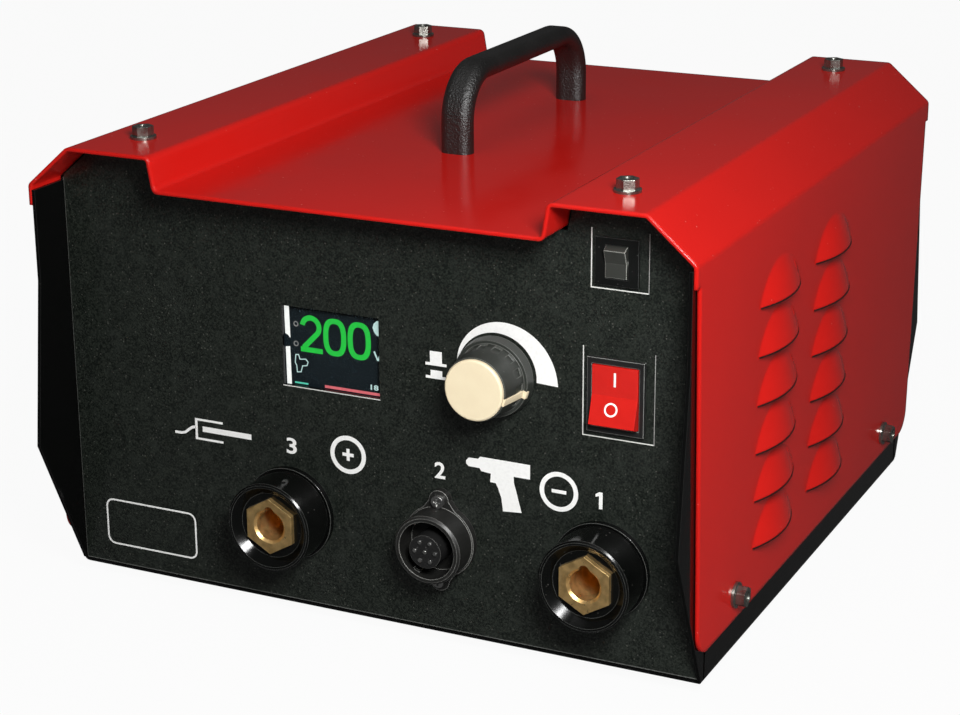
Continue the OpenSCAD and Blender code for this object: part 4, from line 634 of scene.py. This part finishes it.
SIGN_RING = (8.6, 2.0)
PLUS_PLACE, MINUS_PLACE = (-10.8, 76.8), (87.1, 76.4)
PLUS_BARS = [(-13.5, 76.05, -8.1, 77.55), (-11.55, 74.1, -10.05, 76.05),
             (-11.55, 77.55, -10.05, 79.5)]
MINUS_BAR = (83.9, 75.7, 90.4, 77.2)

CLAMP_BARS = [(-87.2, 72.0, -86.0, 81.9), (-86.0, 80.9, -73.0, 81.9),
              (-86.0, 72.0, -73.0, 73.0), (-83.4, 76.0, -58.6, 78.5)]
CLAMP_CABLE = [(-97.8, 73.9), (-94.5, 73.9), (-92.4, 74.5),
               (-90.6, 76.0), (-88.8, 77.3), (-87.0, 77.7)]
CLAMP_CABLE_WIDTH = 1.2

GUN = [(45.1, 83.4), (46.3, 84.8), (50.6, 84.9), (51.6, 86.0), (74.2, 85.9), (74.2, 79.6),
       (66.8, 79.6), (66.9, 76.9), (68.0, 73.0), (70.4, 64.2), (61.9, 63.5), (61.2, 69.2),
       (59.6, 73.6), (58.6, 75.4), (56.1, 75.6), (56.4, 79.3), (52.0, 79.7), (51.2, 80.9),
       (46.2, 81.0), (45.1, 82.0)]

BLANK_FIELD = (-137.1, 13.9, -89.2, 36.1)
BLANK_FIELD_CORNER, BLANK_FIELD_LINE = 4.0, 0.8

DIGIT_ONE = [(103.3, 77.0), (103.3, 78.2), (104.9, 79.2), (106.4, 79.2),
             (106.4, 71.9), (104.8, 71.9), (104.8, 77.5)]
SOCKET_NUMBERS = {"3": (-41.0, 72.8, -36.0), "2": (30.4, 73.2, 35.4)}
SOCKET_NUMBER_HEIGHT = 7.3


def knob_scale():
    cx, cz = KNOB_PLACE
    outer = []
    for i in range(SCALE_STEPS + 1):
        turn = math.radians(SCALE_START + (SCALE_END - SCALE_START) * i / SCALE_STEPS)
        r = SCALE_OUTER + SCALE_GROWTH * i / SCALE_STEPS
        outer.append((cx + r * math.cos(turn), cz + r * math.sin(turn)))
    return outer + arc(cx, cz, SCALE_INNER, SCALE_END, SCALE_START, SCALE_STEPS)


def print_white(name, loops):
    lay_print(name, loops, WHITE_INK)


def print_panel():
    print_white("knob_scale", [knob_scale()])
    print_white("push_sign", [PUSH_OUT, PUSH_IN])
    for name, (x0, z0, x1, z1) in LINED_BOXES.items():
        corner = [(x0, z0), (x1, z0), (x1, z0 + LEFT_LINE),
                  (x0 + LEFT_LINE, z0 + LEFT_LINE), (x0 + LEFT_LINE, z1), (x0, z1)]
        lay_print(name + "_line", [corner], PALE_INK)
        right = bar(x1, z0, x1 + RIGHT_LINE, z1)
        lay_print(name + "_line_right", [right], GREY_INK)
    # The pale line under the display is a painted highlight of its lit sill
    lay_print("display_sill_highlight", [bar(*DISPLAY_SILL_HIGHLIGHT)], PALE_INK)
    print_white("plus_sign", ring(*PLUS_PLACE, *SIGN_RING) + [bar(*box) for box in PLUS_BARS])
    print_white("minus_sign", ring(*MINUS_PLACE, *SIGN_RING) + [bar(*MINUS_BAR)])
    cable = stroke(CLAMP_CABLE, CLAMP_CABLE_WIDTH)
    print_white("clamp_sign", [bar(*box) for box in CLAMP_BARS] + [cable])
    print_white("gun_sign", [GUN])
    field = box_line(*BLANK_FIELD, BLANK_FIELD_CORNER, BLANK_FIELD_LINE)
    print_white("blank_field_line", field)
    print_white("socket_number_1", [DIGIT_ONE])
    for digits, (x0, z0, x1) in SOCKET_NUMBERS.items():
        box = (x0, z0, x1, z0 + SOCKET_NUMBER_HEIGHT)
        lay_number("socket_number_" + digits, digits, box, WHITE_INK)


# Reading on the display, in mm across and above MARK_Z

# The 2: its arc (place, radius, turns in degrees, steps), the foot of its stroke and its bar
TWO_ARC = (-29.0, 130.4, 4.05, 172, -38, 24)
TWO_FOOT, TWO_WIDTH = (-32.6, 121.0), 2.3
TWO_BAR = (-34.1, 119.1, -23.5, 121.3)

# The zeros: their places, and the half sizes of their outer and inner outline
ZEROS_ACROSS, ZERO_ABOVE = (-17.5, -5.8), 127.3
ZERO_OUTER, ZERO_INNER = (5.5, 8.25), (3.1, 6.0)

UNIT_LEFT, UNIT_FOOT, UNIT_RIGHT = (1.2, 123.8), (2.9, 119.9), (4.6, 123.8)
UNIT_WIDTH = 0.75
ICON_PLACES, ICON_RING = ((-36.2, 131.0), (-36.4, 122.2)), (1.2, 0.45)
READING_GUN = [(-36.9, 117.4), (-35.2, 117.6), (-34.6, 115.6), (-31.8, 116.0),
               (-30.6, 114.6), (-31.2, 112.8), (-33.4, 112.4), (-34.2, 109.6),
               (-36.4, 109.3), (-36.6, 112.4), (-37.3, 113.6)]
READING_GUN_LINE = 0.38
READING_CORNER = [(0.7, 134.2), (1.3, 136.0), (2.6, 137.2), (3.8, 137.4),
                  (3.8, 130.6), (2.6, 130.9), (1.4, 132.2)]
FOOT_BAR = (-37.5, 104.4, -31.0, 105.1)
LEVEL_BAR = (-22.9, 104.3, 4.3, 105.5)
COUNT_DIGITS, COUNT_BOX = "18", (-0.8, 106.6, 2.9, 108.9)
# A glowing pale strip, a painted highlight of the lit left wall of the display's opening
WALL_HIGHLIGHT_UPPER = [(-41.7, 138.4), (-39.4, 138.4), (-39.1, 124.3), (-40.2, 125.6), (-41.5, 126.2)]
WALL_HIGHLIGHT_LOWER = [(-41.5, 120.2), (-39.4, 120.6), (-39.1, 103.0), (-41.3, 103.0)]


def show(name, loops, finish):
    lay_print(name, loops, finish, SCREEN_Y)


def show_reading():
    two = stroke(arc(*TWO_ARC) + [TWO_FOOT], TWO_WIDTH)
    show("reading_digit_1", [two, bar(*TWO_BAR)], GREEN_LIGHT)
    for place, x in enumerate(ZEROS_ACROSS, start=2):
        zero = [oval(x, ZERO_ABOVE, *size) for size in (ZERO_OUTER, ZERO_INNER)]
        show("reading_digit_%d" % place, zero, GREEN_LIGHT)
    unit = [stroke([UNIT_LEFT, UNIT_FOOT], UNIT_WIDTH), stroke([UNIT_FOOT, UNIT_RIGHT], UNIT_WIDTH)]
    show("reading_unit", unit, PALE_LIGHT)
    icons = [loop for place in ICON_PLACES for loop in ring(*place, *ICON_RING)]
    show("reading_icons", icons, GREY_INK)
    show("reading_gun", loop_line(READING_GUN, READING_GUN_LINE), PALE_LIGHT)
    show("reading_corner", [READING_CORNER], PALE_LIGHT)
    show("reading_foot", [bar(*FOOT_BAR)], TEAL_LIGHT)
    show("reading_level", [bar(*LEVEL_BAR)], RED_LIGHT)
    lay_number("reading_count", COUNT_DIGITS, COUNT_BOX, PALE_LIGHT, SCREEN_Y)
    # The glowing strip on the left of the screen is a painted highlight, not a sign
    show("window_wall_highlight", [WALL_HIGHLIGHT_UPPER, WALL_HIGHLIGHT_LOWER], PAINTED_WINDOW_HIGHLIGHT)


# Marks on the power switch's paddle: outline about the mark's middle, the middle's place across
# and above MARK_Z, how far its face stands before the panel, in mm, and its lean in degrees

ON_BAR, ON_PLACE, ON_REACH = (-0.45, -2.9, 0.45, 2.9), (112.1, 128.8), 2.6
OFF_RING, OFF_PLACE, OFF_REACH, OFF_LEAN = (0.0, 0.0, 2.85, 0.75), (111.2, 116.7), 4.26, -18.0


def print_paddle():
    """I and O on the two faces of the power switch's paddle."""
    lay_print("switch_on_mark", [bar(*ON_BAR)], WHITE_INK, PANEL_Y - ON_REACH,
              PADDLE_BODY, at=ON_PLACE)
    lay_print("switch_off_mark", ring(*OFF_RING), WHITE_INK, PANEL_Y - OFF_REACH,
              PADDLE_BODY, at=OFF_PLACE, tilt=OFF_LEAN)


# Painted shadow lines along the mouths of the louvres, in mm

# Each louvre is cut from a ball: its radius, how far its middle lies inside the cover's side, and
# how far the lip lies above that middle
COVER_SIDE = 152.5
BALL_R, BALL_INSIDE, LIP_ABOVE = 64.33, 57.557, 12.235
COLUMNS_Y = (-61.5, 10.5)
ROWS, TOP_ROW_Z, ROW_PITCH = 6, 151.9, 21.1

# The painted shadow line: half its turn about the ball in degrees, its height, and how far it
# stands proud of the ball and sinks into it
LIP_TURN, LIP_STEPS = 23.6, 32
LINE_HEIGHT, LINE_PROUD, LINE_SUNK = 0.6, 0.06, 0.02
LINE_SECTION = ((0.0, LINE_PROUD), (LINE_HEIGHT, LINE_PROUD),
                (LINE_HEIGHT, -LINE_SUNK), (0.0, -LINE_SUNK))


def louvre_lip_shadow(sign, column_y, lip_z, first):
    """Points and faces of one lip's painted shadow line, with the number of its first point given.
    """
    points, faces, sides = [], [], len(LINE_SECTION)
    for i in range(LIP_STEPS + 1):
        turn = math.radians(-LIP_TURN + 2 * LIP_TURN * i / LIP_STEPS)
        for height, out in LINE_SECTION:
            r = math.sqrt(BALL_R ** 2 - (LIP_ABOVE + height) ** 2) + out
            points.append((sign * (COVER_SIDE - BALL_INSIDE + r * math.cos(turn)) * MM,
                           (column_y + r * math.sin(turn)) * MM, (lip_z + height) * MM))
    for i in range(LIP_STEPS):
        a, b = first + sides * i, first + sides * (i + 1)
        for k in range(sides):
            n = (k + 1) % sides
            faces.append((a + k, a + n, b + n, b + k)[::sign])
    last = first + sides * LIP_STEPS
    faces.append(tuple(range(first, first + sides))[::-sign])
    faces.append(tuple(range(last, last + sides))[::sign])
    return points, faces


def shade_louvre_lips():
    """A thin dark line of painted shade along the lip of each louvre, on the ball that shapes it.
    """
    verts, faces = [], []
    for sign in (-1, 1):
        for column_y in COLUMNS_Y:
            for row in range(ROWS):
                lip_z = TOP_ROW_Z - ROW_PITCH * row
                more_verts, more_faces = louvre_lip_shadow(sign, column_y, lip_z, len(verts))
                verts += more_verts
                faces += more_faces
    mesh = bpy.data.meshes.new("louvre_lip_shadows")
    mesh.from_pydata(verts, [], faces)
    add_piece("louvre_lip_shadows", mesh, LIP_SHADOW_INK, CASE_BODY)


# Studio

FLOOR_REACH = 30.0
FLOOR_GREY = 0.5

# The floor is white to the camera apart from a share that takes shadows, and dim in reflections
FLOOR_WHITE_SHARE = 0.95
FLOOR_MIRRORED = 0.07

WORLD_STRENGTH = 0.06
LAMP_AIM = (0.0, 0.0, 0.1)


def floor_paper():
    paper = bpy.data.materials.new("floor_paper")
    paper.use_nodes = True
    tree = paper.node_tree
    tree.nodes.clear()
    out = tree.nodes.new("ShaderNodeOutputMaterial")
    diffuse = tree.nodes.new("ShaderNodeBsdfDiffuse")
    diffuse.inputs["Color"].default_value = (FLOOR_GREY, FLOOR_GREY, FLOOR_GREY, 1.0)
    glow = tree.nodes.new("ShaderNodeEmission")
    path = tree.nodes.new("ShaderNodeLightPath").outputs
    power = tree.nodes.new("ShaderNodeMapRange")
    power.inputs["To Min"].default_value = FLOOR_MIRRORED
    mix = tree.nodes.new("ShaderNodeMixShader")
    seen = math_node(tree, "MULTIPLY", path["Is Camera Ray"], FLOOR_WHITE_SHARE)
    mirrored = math_node(tree, "MAXIMUM", path["Is Glossy Ray"], path["Is Transmission Ray"])
    share = math_node(tree, "MAXIMUM", seen, mirrored)
    link = tree.links.new
    link(path["Is Camera Ray"], power.inputs["Value"])
    link(power.outputs["Result"], glow.inputs["Strength"])
    link(share, mix.inputs["Fac"])
    link(diffuse.outputs[0], mix.inputs[1])
    link(glow.outputs[0], mix.inputs[2])
    link(mix.outputs[0], out.inputs["Surface"])
    return paper


def lay_floor():
    mesh = bpy.data.meshes.new("floor")
    corners = bar(-FLOOR_REACH, -FLOOR_REACH, FLOOR_REACH, FLOOR_REACH)
    mesh.from_pydata([(x, y, 0.0) for x, y in corners], [], [(0, 1, 2, 3)])
    floor = bpy.data.objects.new("floor", mesh)
    bpy.context.scene.collection.objects.link(floor)
    mesh.materials.append(floor_paper())


def light_world():
    world = bpy.data.worlds.new("studio")
    bpy.context.scene.world = world
    world.use_nodes = True
    sky = world.node_tree.nodes["Background"]
    sky.inputs["Color"].default_value = (1.0, 1.0, 1.0, 1.0)
    sky.inputs["Strength"].default_value = WORLD_STRENGTH


def light(name, place, size, power):
    data = bpy.data.lights.new(name, "AREA")
    data.shape = "RECTANGLE"
    data.size, data.size_y = size, size
    data.energy = power
    lamp = bpy.data.objects.new(name, data)
    lamp.location = place
    aim = Vector(LAMP_AIM) - Vector(place)
    lamp.rotation_euler = aim.to_track_quat("-Z", "Y").to_euler()
    bpy.context.scene.collection.objects.link(lamp)


def set_studio():
    lay_floor()
    light_world()
    light("key", place=(0.42, -0.60, 0.52), size=0.2, power=7.4)
    light("overhead", place=(-0.1, -0.3, 1.5), size=0.9, power=2.6)


stand_camera()
dress_nodes()
lay_film()
print_panel()
show_reading()
print_paddle()
shade_louvre_lips()
set_studio()
bpy.context.scene.view_settings.view_transform = "Standard"
